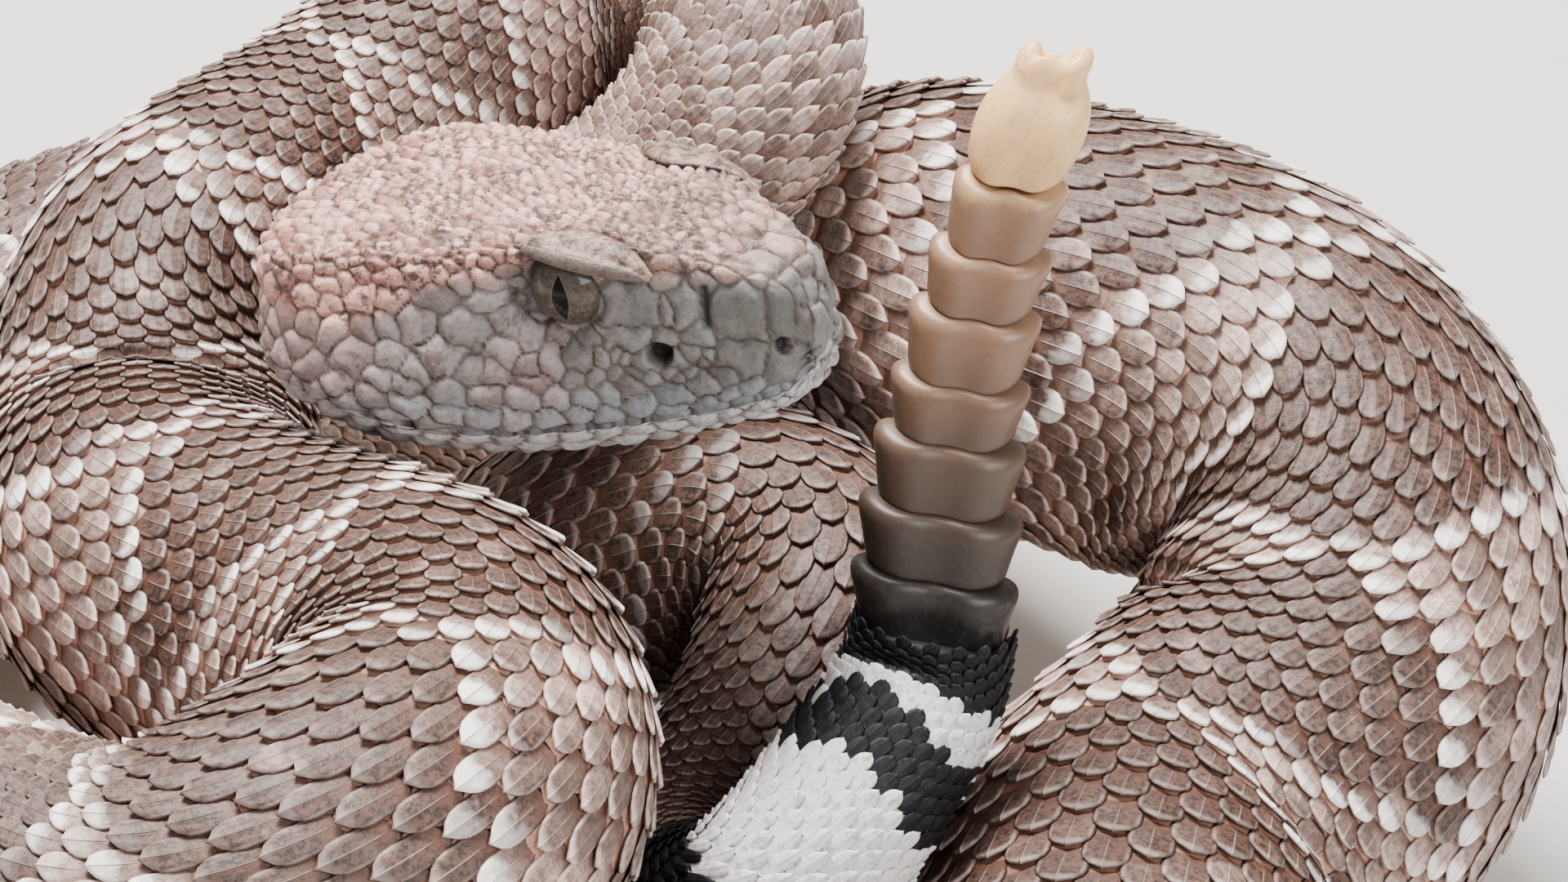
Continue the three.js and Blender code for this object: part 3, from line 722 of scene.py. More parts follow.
# Half size of the scales that fill the rest of the head, by place back and round the section.
def fillSize(back, round_):
    snout, brow, rear = (scaleField[k] for k in ("snoutHalf", "browHalf", "rearHalf"))
    top = np.interp(back, (0, 6, 12, 24, 54), (0.9, snout, brow, brow, rear))
    low = np.interp(round_, (6, 10), (scaleField["sideHalf"], scaleField["jawHalf"]))
    low = np.minimum(low, 0.8 + 0.04 * back)
    return top + (low - top) * blend(round_, 2.8, 3.7)


# Nearest and second nearest seed of every place; a distance counts in the seed's own half sizes.
def nearestTwo(places, seeds, sizes):
    first, second, which, other = [], [], [], []
    for block in np.array_split(places.astype(np.float32), max(1, len(places) // 6000)):
        gap = sum(((block[:, k, None] - seeds[None, :, k]) / sizes[None, :, k]) ** 2 for k in range(3))
        near = gap.argmin(1)
        rows = np.arange(len(block))
        first.append(gap[rows, near])
        gap[rows, near] = np.inf
        after = gap.argmin(1)
        second.append(gap[rows, after])
        which.append(near)
        other.append(after)
    first, second = np.sqrt(np.concatenate(first)), np.sqrt(np.concatenate(second))
    return first, second, np.concatenate(which), np.concatenate(other)


# Seeds of all head scales: the named ones on both sides, then small ones that fill the rest and settle.
def headSeeds(places, round_):
    flat = places.reshape(-1, 3)
    back, out, up = flat.T
    band = round_.ravel()
    rightWall = (out > 0) & (band > 2.5) & (band < 11)
    named, sizes = [], []
    for group in sideScales.values():
        for b, z, long, tall in group:
            i = np.where(rightWall, (back - b) ** 2 + (up - z) ** 2, np.inf).argmin()
            named.append((b, out[i], z))
            sizes.append((long, min(long, tall), tall))
    for b, x, long, wide in topPlates:
        i = np.where(band < 3.2, (back - b) ** 2 + (out - x) ** 2, np.inf).argmin()
        named.append((b, x, up[i]))
        sizes.append((long, wide, min(long, wide)))
    named, sizes = np.array(named), np.array(sizes)
    named = np.vstack([named, named * (1, -1, 1), [[-0.5, 0, 1.2]]])  # the last is the rostral plate
    sizes = np.vstack([sizes, sizes, [[1.2, 1.6, 2.2]]])
    half = fillSize(back, band)
    across = np.linalg.norm(np.roll(places, -1, 1) - np.roll(places, 1, 1), axis=-1) / 2
    along = np.linalg.norm(np.gradient(places, axis=0), axis=-1)
    density = (across * along).ravel() / (3.46 * half**2)  # a six-sided scale covers 3.46 half sizes squared
    free = density * (nearestTwo(flat, named, sizes)[0] > scaleField["clear"])
    count = int(free.sum())
    chosen = rng.choice(len(free), count, replace=False, p=free / free.sum())
    seeds = flat[chosen]
    sample = flat[rng.choice(len(free), scaleField["sample"], replace=False, p=density / density.sum())]
    allSizes = np.vstack([sizes, half[chosen][:, None] * scaleField["stretch"]])
    for _ in range(scaleField["settle"]):
        which = nearestTwo(sample, np.vstack([named, seeds]), allSizes)[2] - len(named)
        mine = which >= 0
        total = np.bincount(which[mine], minlength=count)
        for k in range(3):
            sums = np.bincount(which[mine], sample[mine][:, k], minlength=count)
            seeds[:, k] = np.where(total > 0, sums / np.maximum(total, 1), seeds[:, k])
    return np.vstack([named, seeds]), allSizes


# Where the head's surface bends in: the orbit round the eye, then the pit, the nostril and the slit.
def hollow(places, round_, name, wider=1.0):
    form = hollows[name]
    mirrored = np.abs(places) * (0, 1, 0) + places * (1, 0, 1)
    away = (mirrored - form["place"]) / (np.array(form["size"]) * wider)
    onWall = (mirrored[..., 1] > 2) & (round_ > 2.5) & (round_ < 8)
    if name == "slit":
        return np.exp(-away[..., 0] ** 2) * blend(np.abs(away[..., 2]), 1.1, 0.8) * onWall
    return blend(np.linalg.norm(away, axis=-1), 1.15, 0.6) * onWall


# The orbit is a bowl round the eye, joined softly to the wall; it also gives the distance from the eye.
def orbit(places):
    back, side, up = head["eye"]
    reach = np.hypot(places[..., 0] - back, places[..., 2] - up)
    radius, open_ = eyeForm["radius"], eyeForm["open"]
    rim = side + math.sqrt(radius**2 - open_**2) + 0.12
    bowl = rim + eyeForm["slope"] * (reach - open_)
    out = np.abs(places[..., 1])
    wall = (out > 6) & (places[..., 2] > 0)
    lowered = -np.log(np.exp(-4 * out) + np.exp(-4 * bowl)) / 4
    shift = (lowered - out) * blend(reach, 6.2, 4.8)
    shift -= eyeForm["sink"] * blend(reach, open_ + 0.05, open_ - 0.5)
    return np.where(wall & (reach < 6.5), shift, 0), np.where(wall, reach, 99)


# The plain head: places, outward normals, and how far round from the top each column lies, 0 to 13.
def headSurface():
    back, q = headGrid()
    corners = headForm["corners"]
    outUp = np.einsum("mk,nkc->nmc", ringWeights(q, corners), headSections(back))
    places = np.concatenate([np.broadcast_to(back[:, None, None], outUp.shape[:2] + (1,)), outUp], -1)
    round_ = np.broadcast_to(np.minimum(q, corners - q), places.shape[:2])
    around = np.roll(places, -1, 1) - np.roll(places, 1, 1)
    normal = unit(np.cross(around, np.gradient(places, axis=0)))
    return places, normal, round_


# The skin inside the head scales: the same surface with its hollows, drawn in towards the middle.
def headCore():
    places, normal, round_ = headSurface()
    core = places.copy()
    for name, form in hollows.items():
        core -= normal * (hollow(places, round_, name, 1.8) * (form["depth"] + 1))[..., None]
    core[..., 1] += np.sign(places[..., 1]) * orbit(places)[0]
    middle = np.array([0, 0, headForm["coreMiddle"]])
    core = middle + (core - middle) * headForm["core"]
    front, rear = headForm["coreEnds"]
    back = places[..., 0]
    core[..., 0] = back + front * blend(back, 6, 0) - rear * blend(back, 40, 53)
    return core


# Head places, back from the snout, out and up, as points of the scene.
def toHead(places):
    return headPoint(places[..., 0], places[..., 1], places[..., 2])


# Brow plates: rows from the rear to the front, each back, inner edge out and up, outer edge out and up.
browRows = np.array([
    [22.6, 9.6, 10.3, 9.9, 10.1],
    [21.9, 8.8, 10.8, 10.35, 10.4],
    [20.8, 7.5, 11.15, 10.85, 10.6],
    [18.2, 6.5, 11.25, 11, 10.25],
    [15.5, 6.9, 11.2, 10.8, 9.85],
    [13.2, 7.4, 10.85, 10.25, 9.4],
    [11.5, 7.9, 9.9, 9.6, 8.95],
    [10.3, 8.4, 8.8, 9.05, 8.5],
])


# Head scales: every point finds its own scale and the nearest groove. Height over the groove is
# relief * (1 - (1 - d / edge)^2), with d the way to the groove, plus a keel on top and a tilt to the rear.
def makeHead(material):
    places, normal, round_ = headSurface()
    seeds, sizes = headSeeds(places, round_)
    waves = np.sin(2.3 * places[..., [1, 2, 0]] + 1.7 * places[..., [2, 0, 1]])
    wavy = places + scaleField["wave"] * waves * blend(round_, 2.8, 3.6)[..., None]
    first, second, which, other = nearestTwo(wavy.reshape(-1, 3), seeds, sizes)
    half = sizes.mean(1)
    near, far = half[which], half[other]
    toGroove = ((second - first) * near * far / (near + far)).reshape(round_.shape)
    near = near.reshape(round_.shape)
    offset = (places.reshape(-1, 3) - seeds[which]).reshape(places.shape)
    own = sizes[which].reshape(places.shape)
    top = 1 - blend(round_, 2.6, 3.4)
    edge = np.minimum(0.85 * near, 1.1)
    relief = np.minimum(scaleField["relief"][0] + scaleField["relief"][1] * near, scaleField["reliefMost"])
    corner = 0.4 + 0.6 * blend(first.reshape(round_.shape), 1.35, 0.95)
    chance = rng.uniform(0, 1, len(seeds))[which].reshape(round_.shape)
    relief = relief * (0.85 + 0.3 * chance)
    height = relief * corner * (1 - (1 - np.minimum(toGroove / edge, 1)) ** 2)
    inner = blend(toGroove, 0, 0.5 * near)
    keel = np.exp(-(offset[..., 1] / (0.28 * own[..., 1])) ** 2) * top * blend(places[..., 0], 6, 14)
    tilt = np.clip(offset[..., 0] / own[..., 0], -1, 1) * blend(places[..., 0], 8, 24)
    height = height + inner * (0.16 * keel + (0.2 - 0.06 * top) * near * tilt)
    shift, reach = orbit(places)
    height = height * blend(reach, eyeForm["open"] - 0.2, eyeForm["open"] + 0.5) - headForm["groove"]
    browEdge = np.interp(places[..., 0], browRows[::-1, 0], browRows[::-1, 1])
    # Painted shade along the crease by the brow's inner edge, which also dips the surface.
    crease = blend(np.abs(np.abs(places[..., 1]) - browEdge + 0.15), 0.6, 0.1) * top
    crease = crease * blend(places[..., 0], 10, 11.5) * blend(places[..., 0], 24, 22.5)
    height = height - 0.25 * crease
    # The crease and, below, the pit, nostril and slit are painted dark as shade.
    dark = 0.75 * crease
    for name, form in hollows.items():
        mask = hollow(places, round_, name)
        height = height - mask * (form["depth"] + height)
        dark = np.maximum(dark, mask)
    points = places + normal * height[..., None]
    points[..., 1] += np.sign(points[..., 1]) * shift
    piece = ringSurface("headScales", toHead(points))
    # Painted shade in the grooves between the scales.
    groove = 1 - blend(toGroove, 0.02, 0.2 + 0.08 * top)
    edgeUp = np.interp(places[..., 0], (0, 22, 30, 38), (7.6, 8.8, 7, 3.6))
    topTone = blend(places[..., 2] + chance - 0.5, edgeUp - 1.4, edgeUp + 1.4)
    below = blend(round_, 8.3, 8.7)
    line = places[..., 2] - np.interp(places[..., 0], (20, 40), (4.2, -2))
    stripe = blend(np.abs(line), 3.4, 1.4) * blend(places[..., 0], 20, 24) * (1 - below)
    lips = blend(places[..., 2], -0.5, -3) * (1 - below)
    addColour(piece, "marks", withEnds(np.stack([groove, topTone, chance], -1)))
    addColour(piece, "regions", withEnds(np.stack([dark, below, stripe], -1)))
    front, cheek = blend(places[..., 0], 20, 10), blend(places[..., 0], 30, 44)
    addColour(piece, "zones", withEnds(np.stack([lips, front, cheek], -1)))
    patch = np.stack([seeds[:, 0] / 54, np.arctan2(seeds[:, 1], seeds[:, 2]) / (2 * math.pi) + 0.5], -1)
    local = (offset[..., :2] / own[..., :2]).reshape(-1, 2) * bakeHalf
    addUv(piece, "OFBake", withEnds((patch[which] + local).reshape(round_.shape + (2,))))
    finishPiece(piece, material, "head_skin")
    print("head scales:", len(seeds))


browForm = {
    "rows": 70,
    "around": 48,
    "across": (0, 0.04, 0.2, 0.5, 0.75, 0.9, 0.99, 1.03, 1.02, 0.94, 0.78, 0.4, 0.05),
    "raise": (-0.3, 0, 0.35, 0.62, 0.3, 0.5, 0.28, -0.1, -0.45, -0.7, -0.8, -0.8, -0.6),
}


# A plate is the closed curve of its cross-section carried along the brow.
def makeBrows(material):
    t = np.linspace(0, 1, browForm["rows"])
    places = np.linspace(0, 1, len(browRows))
    row = smoothRows(t, places, browRows)[:, :, None]
    corners = len(browForm["across"])
    weights = ringWeights(np.linspace(0, corners, browForm["around"], endpoint=False), corners)
    across = weights @ np.array(browForm["across"])
    lift = weights @ np.array(browForm["raise"])
    ends = np.clip(np.sin(math.pi * t) ** 0.7, 0.06, 1)[:, None]
    out = row[:, 1] + (row[:, 3] - row[:, 1]) * across
    up = row[:, 2] + (row[:, 4] - row[:, 2]) * across + lift * ends
    back = np.broadcast_to(row[:, 0], out.shape)
    for name, side in (("browRight", 1), ("browLeft", -1)):
        rings = np.stack([back, out * side, up], -1)
        rings = rings if side > 0 else rings[:, ::-1]
        piece = ringSurface(name, toHead(rings))
        face = np.broadcast_to(across if side > 0 else across[::-1], out.shape)
        share = np.broadcast_to(t[:, None], out.shape)
        addColour(piece, "marks", withEnds(np.stack([np.clip(face, 0, 1), share, np.ones(out.shape)], -1)))
        addUv(piece, "OFBake", withEnds(np.stack([0.4 + 0.001 * face, 0.6 + 0.003 * share], -1)))
        finishPiece(piece, material, "head_skin")
    print("brow plates: 2")


# Eyeballs: rings round the line of sight; the flat view along that line is kept as eyeUV.
def makeEyes(material):
    turn = np.linspace(0.04, math.pi - 0.04, 44)
    spin = np.linspace(0, 2 * math.pi, 72, endpoint=False)
    turn, spin = np.meshgrid(turn, spin, indexing="ij")
    back, side, up = head["eye"]
    for name, node, sign in (("eyeballRight", "eye_right", 1), ("eyeballLeft", "eye_left", -1)):
        ahead, outward, rise = eyeForm["gaze"]
        gaze = unit(ahead * headForward + sign * outward * headRight + rise * headUp)
        upward = unit(headUp - gaze * (headUp @ gaze))
        across = np.cross(gaze, upward)
        flat = np.stack([np.sin(turn) * np.cos(spin), np.sin(turn) * np.sin(spin)], -1)
        ball = flat[..., :1] * across + flat[..., 1:] * upward + np.cos(turn)[..., None] * gaze
        centre = headPoint(*[np.float64(v) for v in (back, sign * side, up)])
        piece = ringSurface(name, centre + eyeForm["radius"] * ball)
        addUv(piece, "eyeUV", withEnds(flat * 0.5 + 0.5))
        addUv(piece, "OFBake", withEnds(flat * 0.01 + 0.5))
        finishPiece(piece, material, "eye", node)
    print("eyes: 2")


# Rattle: lengths and widths of its segments from the tail to the tip.
rattle = {
    "lengths": (6.1, 6.2, 6.4, 5.4, 6.2, 5.4, 6.1),
    "widths": (14.9, 14.5, 13.4, 12.2, 11.5, 10.7, 9.8),
    "tip": (11, 9.1),
    "thick": 0.56,
    "axis": (0.16, 0.28, 0.94),
    "bend": 0.0032,
    "straight": 36,
    "shift": 0.5,
    "start": 0.7,
    "gap": 0.3,
    "droop": (0.8, 1.0, 1.2, 1.45, 1.65, 1.75, 1.8, 1.5),
    "ragged": 0.11,  # mm by which the tip's free edge is torn
    "around": 96,
    "tones": (0.0, 0.2, 0.35, 0.5, 0.63, 0.68, 0.72, 1.0),
}
# Profiles from the tail end to the free end, each row a share of the length and of the width.
segmentProfile = np.array([
    [0.05, 0.6], [-0.02, 0.74], [-0.045, 0.8], [-0.03, 0.84], [0.03, 0.865], [0.14, 0.885],
    [0.3, 0.915], [0.48, 0.95], [0.64, 0.985], [0.76, 1], [0.86, 0.975], [0.93, 0.91], [0.97, 0.8],
    [0.99, 0.66], [0.98, 0.5],
])
tipProfile = np.array([
    [0.03, 0.6], [-0.02, 0.78], [-0.01, 0.88], [0.06, 0.97], [0.18, 1.03], [0.32, 1.05],
    [0.46, 1.01], [0.58, 0.92], [0.67, 0.8], [0.73, 0.71], [0.79, 0.69], [0.85, 0.7], [0.91, 0.67],
    [0.96, 0.58], [0.98, 0.46], [0.95, 0.34], [0.9, 0.26],
])


# A segment is a flattened ring with a groove down each broad face, its rim drooping between the edges.
def rattleRings(start, length, width, droop, profile, ragged=0.0):
    axis = unit(np.array(rattle["axis"]))
    across = unit(coilSide[-1] - axis * (coilSide[-1] @ axis))
    through = np.cross(axis, across)
    rows = np.linspace(0, 1, 4 * len(profile))
    share, wide = smoothRows(rows, np.linspace(0, 1, len(profile)), profile).T
    angle = np.linspace(0, 2 * math.pi, rattle["around"], endpoint=False)
    c, s = np.cos(angle), np.sin(angle)
    waist = 1 - 0.17 * np.exp(-((c / 0.3) ** 2))
    sag = droop * np.abs(s) ** 1.2 * (1 - 0.22 * np.exp(-((c / 0.35) ** 2)))
    tear = blend(share, 0.7, 1)[:, None] * (np.sin(3 * angle + 0.8) + 0.6 * np.sin(7 * angle + 2)) * ragged
    height = start + share[:, None] * length - sag + tear
    halfWide = wide[:, None] * width / 2
    x = np.sign(c) * np.abs(c) ** 0.85 * halfWide
    y = np.sign(s) * np.abs(s) ** 0.85 * (halfWide * rattle["thick"] + 0.4 * wide[:, None]) * waist
    if ragged:
        notch = np.exp(-((share[:, None] - 0.76) / 0.1) ** 2 - ((angle - 5.5) / 0.34) ** 2)
        x, y = x * (1 - 0.35 * notch), y * (1 - 0.35 * notch)
    middle = coilLine[-1, :3] + height[..., None] * axis
    middle[..., 0] += rattle["bend"] * height * (height - rattle["straight"]) - rattle["shift"]
    uv = np.stack(np.broadcast_arrays(angle / (2 * math.pi), share[:, None]), -1)
    return middle + x[..., None] * across + y[..., None] * through, uv


# The segments stand one in the next along the rattle's bent line; the first three are dark horn.
def makeRattle(darkHorn, paleHorn):
    start = rattle["start"] - markings["tailCut"]
    count = len(rattle["lengths"])
    for i in range(count + 1):
        last = i == count
        length, width = rattle["tip"] if last else (rattle["lengths"][i], rattle["widths"][i])
        free = length if last else length - rattle["gap"]
        profile, ragged = (tipProfile, rattle["ragged"]) if last else (segmentProfile, 0)
        rings, uv = rattleRings(start, free, width, rattle["droop"][i], profile, ragged)
        piece = ringSurface("rattleTip" if last else f"rattleSegment{i + 1}", rings)
        addUv(piece, "hornUV", withEnds(uv))
        tone = np.broadcast_to(rattle["tones"][i], uv.shape[:2])
        addColour(piece, "marks", withEnds(np.stack([tone, uv[..., 1], uv[..., 0]], -1)))
        dark = i < 3
        node = "rattle_tip" if last else f"rattle_{i + 1}"
        finishPiece(piece, darkHorn if dark else paleHorn, "rattle_dark" if dark else "rattle_horn", node)
        start += length
    print("rattle:", count, "segments and a tip")


# Materials.
# A small helper that adds nodes to one tree and joins them.
class Shader:
    def __init__(self, tree):
        self.tree = tree

    def add(self, kind, **settings):
        node = self.tree.nodes.new(kind)
        for key, value in settings.items():
            setattr(node, key, value)
        return node

    def join(self, source, target):
        self.tree.links.new(source, target)

    def math(self, operation, a, b=None, clamp=False):
        node = self.add("ShaderNodeMath", operation=operation, use_clamp=clamp)
        for socket, value in zip(node.inputs, (a, b)):
            self.feed(socket, value)
        return node.outputs[0]

    def times(self, a, b, clamp=False):
        return self.math("MULTIPLY", a, b, clamp)

    def plus(self, a, b):
        return self.math("ADD", a, b)

    def minus(self, a, b):
        return self.math("SUBTRACT", a, b)

    def feed(self, socket, value):
        if value is None:
            return
        if hasattr(value, "is_output"):
            self.tree.links.new(value, socket)
        elif isinstance(value, (tuple, list)) and len(value) == 3 and socket.type == "RGBA":
            socket.default_value = (*value, 1)
        else:
            socket.default_value = value

    def mix(self, factor, a, b):
        node = self.add("ShaderNodeMix", data_type="RGBA")
        self.feed(node.inputs[0], factor)
        self.feed(node.inputs[6], a)
        self.feed(node.inputs[7], b)
        return node.outputs[2]

    def ramp(self, value, low, high):
        node = self.add("ShaderNodeMapRange")
        self.feed(node.inputs[0], value)
        node.inputs[1].default_value, node.inputs[2].default_value = low, high
        return node.outputs[0]

    def noise(self, scale, detail=4.0, rough=0.6, vector=None):
        node = self.add("ShaderNodeTexNoise")
        node.inputs["Scale"].default_value = scale
        node.inputs["Detail"].default_value = detail
        node.inputs["Roughness"].default_value = rough
        self.feed(node.inputs["Vector"], vector if vector else self.place())
        return node.outputs[0]

    def place(self):
        return self.add("ShaderNodeTexCoord").outputs["Object"]

    def bump(self, height, strength, distance, normal=None):
        node = self.add("ShaderNodeBump")
        node.inputs["Strength"].default_value = strength
        node.inputs["Distance"].default_value = distance
        self.feed(node.inputs["Height"], height)
        self.feed(node.inputs["Normal"], normal)
        return node.outputs[0]


def newMaterial(name, rough=0.55, coat=0.0, specular=0.4):
    material = bpy.data.materials.new(name)
    material.use_nodes = True
    shader = Shader(material.node_tree)
    surface = material.node_tree.nodes["Principled BSDF"]
    surface.inputs["Roughness"].default_value = rough
    surface.inputs["Coat Weight"].default_value = coat
    surface.inputs["Specular IOR Level"].default_value = specular
    return material, shader, surface


# The three values that a mesh keeps under a name.
def coloursOf(shader, name):
    values = shader.add("ShaderNodeAttribute", attribute_name=name)
    split = shader.add("ShaderNodeSeparateColor")
    shader.join(values.outputs["Color"], split.inputs[0])
    return split.outputs


# Where a point lies on its own scale: across from -1 to 1, and along from root 0 to tip 1.
def scaleCoords(shader):
    uv = shader.add("ShaderNodeUVMap", uv_map="scaleUV")
    split = shader.add("ShaderNodeSeparateXYZ")
    shader.join(uv.outputs[0], split.inputs[0])
    across = shader.times(shader.minus(split.outputs[0], 0.5), 2.0)
    return across, split.outputs[1]


speckleSharp = 15.0


# Speckle: fine grains of pigment, as a mask, and the same grains as a height.
def speckleGroup():
    group = bpy.data.node_groups.new("speckle", "ShaderNodeTree")
    for name, low, high, value in (("Scale", 1, 9000, 1500), ("Amount", 0, 1, 0.5)):
        socket = group.interface.new_socket(name=name, in_out="INPUT", socket_type="NodeSocketFloat")
        socket.min_value, socket.max_value, socket.default_value = low, high, value
    for name in ("Mask", "Height"):
        group.interface.new_socket(name=name, in_out="OUTPUT", socket_type="NodeSocketFloat")
    shader = Shader(group)
    entry = shader.add("NodeGroupInput")
    leave = shader.add("NodeGroupOutput")
    noise = shader.add("ShaderNodeTexNoise")
    noise.inputs["Detail"].default_value = 5
    noise.inputs["Roughness"].default_value = 0.7
    shader.join(shader.place(), noise.inputs["Vector"])
    shader.join(entry.outputs["Scale"], noise.inputs["Scale"])
    low = shader.minus(0.6, shader.times(entry.outputs["Amount"], 0.22))
    sharp = shader.times(shader.minus(noise.outputs[0], low), speckleSharp, clamp=True)
    shader.join(sharp, leave.inputs["Mask"])
    shader.join(noise.outputs[0], leave.inputs["Height"])
    return group


speckle = speckleGroup()


def addSpeckle(shader, scale, amount):
    node = shader.add("ShaderNodeGroup", node_tree=speckle)
    shader.feed(node.inputs["Scale"], scale)
    shader.feed(node.inputs["Amount"], amount)
    return node.outputs["Mask"], node.outputs["Height"]


scaleColours = {
    "pale": (0.86, 0.60, 0.51),
    "grey": (0.20, 0.13, 0.105),
    "dark": (0.011, 0.0052, 0.0035),
    "brown": (0.075, 0.031, 0.0185),
    "white": (1.0, 0.95, 0.90),
    # edge: a painted highlight on the scales' pale rims and keels; on the bare skin it tints the white marks
    "edge": (0.95, 0.76, 0.68),
    # root: painted shade, at the scale roots and in the thin outline round each scale
    "root": (0.12, 0.052, 0.032),
    "skin": (0.42, 0.20, 0.13),
}


# Every scale has its own tone under two sizes of speckle, painted shade at its root, a painted highlight on
# its fine pale keel and its pale rim, and painted shade in its thin dark outline; dark and white marks are
# laid over, white ones on the tip half only.
def scaleMaterial():
    material, shader, surface = newMaterial("scaleKeratin", specular=0.42)
    c = scaleColours
    dark, white, chance = coloursOf(shader, "marks")
    across, along = scaleCoords(shader)
    grains, grainHeight = addSpeckle(shader, 1700, 0.5)
    blots, blotHeight = addSpeckle(shader, 620, 0.4)
    patches = shader.noise(210, 3, 0.6)
    tone = shader.plus(shader.times(chance, 0.55), patches)
    ground = shader.mix(shader.ramp(tone, 0.5, 1.05), c["grey"], c["pale"])
    ground = shader.mix(shader.times(blots, 0.55), ground, c["grey"])
    ground = shader.mix(shader.times(grains, 0.36), ground, c["brown"])
    blotch = shader.mix(grains, c["brown"], c["dark"])
    amount = shader.plus(dark, shader.times(shader.minus(patches, 0.5), 2.2))
    amount = shader.times(shader.ramp(amount, 0.1, 0.7), shader.ramp(dark, 0.0, 0.25))
    clouds = shader.plus(shader.noise(52, 3, 0.65), shader.times(chance, 0.12))
    amount = shader.math("MAXIMUM", amount, shader.times(shader.ramp(clouds, 0.53, 0.64), 0.62))
    colour = shader.mix(shader.times(amount, 0.9), ground, blotch)
    odd = shader.ramp(shader.plus(chance, shader.times(patches, 0.4)), 0.98, 1.16)
    colour = shader.mix(shader.times(odd, 0.75), colour, blotch)
    tip = shader.plus(along, shader.times(shader.noise(700, 3, 0.6), 0.5))
    chalk = shader.times(white, shader.ramp(tip, 0.76, 0.98))
    colour = shader.mix(chalk, colour, c["white"])
    side = shader.math("ABSOLUTE", across)
    # Painted highlight: a pale rim along the tip and sides of each scale, fainter on dark scales.
    reach = shader.math("MAXIMUM", shader.ramp(along, 0.8, 0.93), shader.ramp(side, 0.72, 0.86))
    border = shader.times(reach, shader.ramp(along, 0.35, 0.7))
    rimHighlightStrength = shader.minus(0.55, shader.times(amount, 0.35))
    colour = shader.mix(shader.times(border, rimHighlightStrength), colour, c["edge"])
    # Painted shade: a thin dark outline in the gap round each scale.
    outline = shader.math("MAXIMUM", shader.ramp(along, 0.965, 0.99), shader.ramp(side, 0.9, 0.96))
    colour = shader.mix(shader.times(outline, 0.6), colour, c["root"])
    # Painted shade at each scale's root, under the overlapping scale before it.
    root = shader.ramp(along, 0.42, 0.16)
    colour = shader.mix(shader.times(root, 0.75), colour, c["root"])
    # Painted highlight: a fine pale line along the keel; the same mask also gives a real bump below.
    keel = shader.times(shader.ramp(side, 0.06, 0.0), shader.ramp(along, 0.2, 0.45))
    colour = shader.mix(shader.times(keel, 0.22), colour, c["edge"])
    shader.join(colour, surface.inputs["Base Color"])
    fine = shader.bump(grainHeight, 0.5, 0.00015)
    soft = shader.bump(blotHeight, 0.5, 0.00025, fine)
    shader.join(shader.bump(keel, 0.7, 0.0002, soft), surface.inputs["Normal"])
    rough = shader.plus(0.38, shader.times(grainHeight, 0.24))
    shader.join(rough, surface.inputs["Roughness"])
    return material


tailColours = {
    "white": ((0.78, 0.76, 0.75), (0.52, 0.49, 0.47), 0.35),  # scale, grain and how much of the grain
    "black": ((0.004, 0.004, 0.006), (0.012, 0.012, 0.015), 0.5),
}


# One plain tone with grains of a second, and a paler free edge.
def tailMaterial(name, tone):
    base, grain, amount = tailColours[tone]
    material, shader, surface = newMaterial(name, specular=0.25)
    grains, grainHeight = addSpeckle(shader, 1200, amount)
    colour = shader.mix(grains, base, grain)
    edge = shader.ramp(scaleCoords(shader)[1], 0.8, 1.0)
    paler = tuple(min(1, 2.2 * c + 0.02) for c in base)
    colour = shader.mix(shader.times(edge, 0.25), colour, paler)
    shader.join(colour, surface.inputs["Base Color"])
    shader.join(shader.bump(grainHeight, 0.4, 0.00012), surface.inputs["Normal"])
    return material


bellyColours = {"cream": (0.66, 0.56, 0.46), "pale": (0.72, 0.63, 0.54), "grain": (0.36, 0.30, 0.27)}


# Smooth cream plates, each a little different, with coarse soft grains.
def bellyMaterial():
    material, shader, surface = newMaterial("bellyPlate", rough=0.42)
    grains, grainHeight = addSpeckle(shader, 420, 0.25)
    base = shader.mix(coloursOf(shader, "marks")[2], bellyColours["cream"], bellyColours["pale"])
    colour = shader.mix(shader.times(grains, 0.45), base, bellyColours["grain"])
    shader.join(colour, surface.inputs["Base Color"])
    shader.join(shader.bump(grainHeight, 0.2, 0.0001), surface.inputs["Normal"])
    return material


skinColours = {
    "fold": (0.62, 0.36, 0.25),
    "ringWhite": (0.5, 0.46, 0.44),
    "ringBlack": (0.012, 0.012, 0.015),
}


# The bare skin carries the coat's own dark marks and tail rings.
def skinMaterial():
    material, shader, surface = newMaterial("softSkin", rough=0.62)
    dark, white, ring = coloursOf(shader, "marks")
    folds = shader.noise(900, 4, 0.6)
    colour = shader.mix(shader.ramp(folds, 0.35, 0.7), scaleColours["skin"], skinColours["fold"])
    colour = shader.mix(shader.times(dark, 0.7), colour, scaleColours["brown"])
    colour = shader.mix(shader.times(white, 0.4), colour, scaleColours["edge"])
    colour = shader.mix(shader.ramp(ring, 0.1, 0.4), colour, skinColours["ringWhite"])
    colour = shader.mix(shader.ramp(ring, 0.6, 0.9), colour, skinColours["ringBlack"])
    shader.join(colour, surface.inputs["Base Color"])
    shader.join(shader.bump(folds, 0.6, 0.0003), surface.inputs["Normal"])
    return material


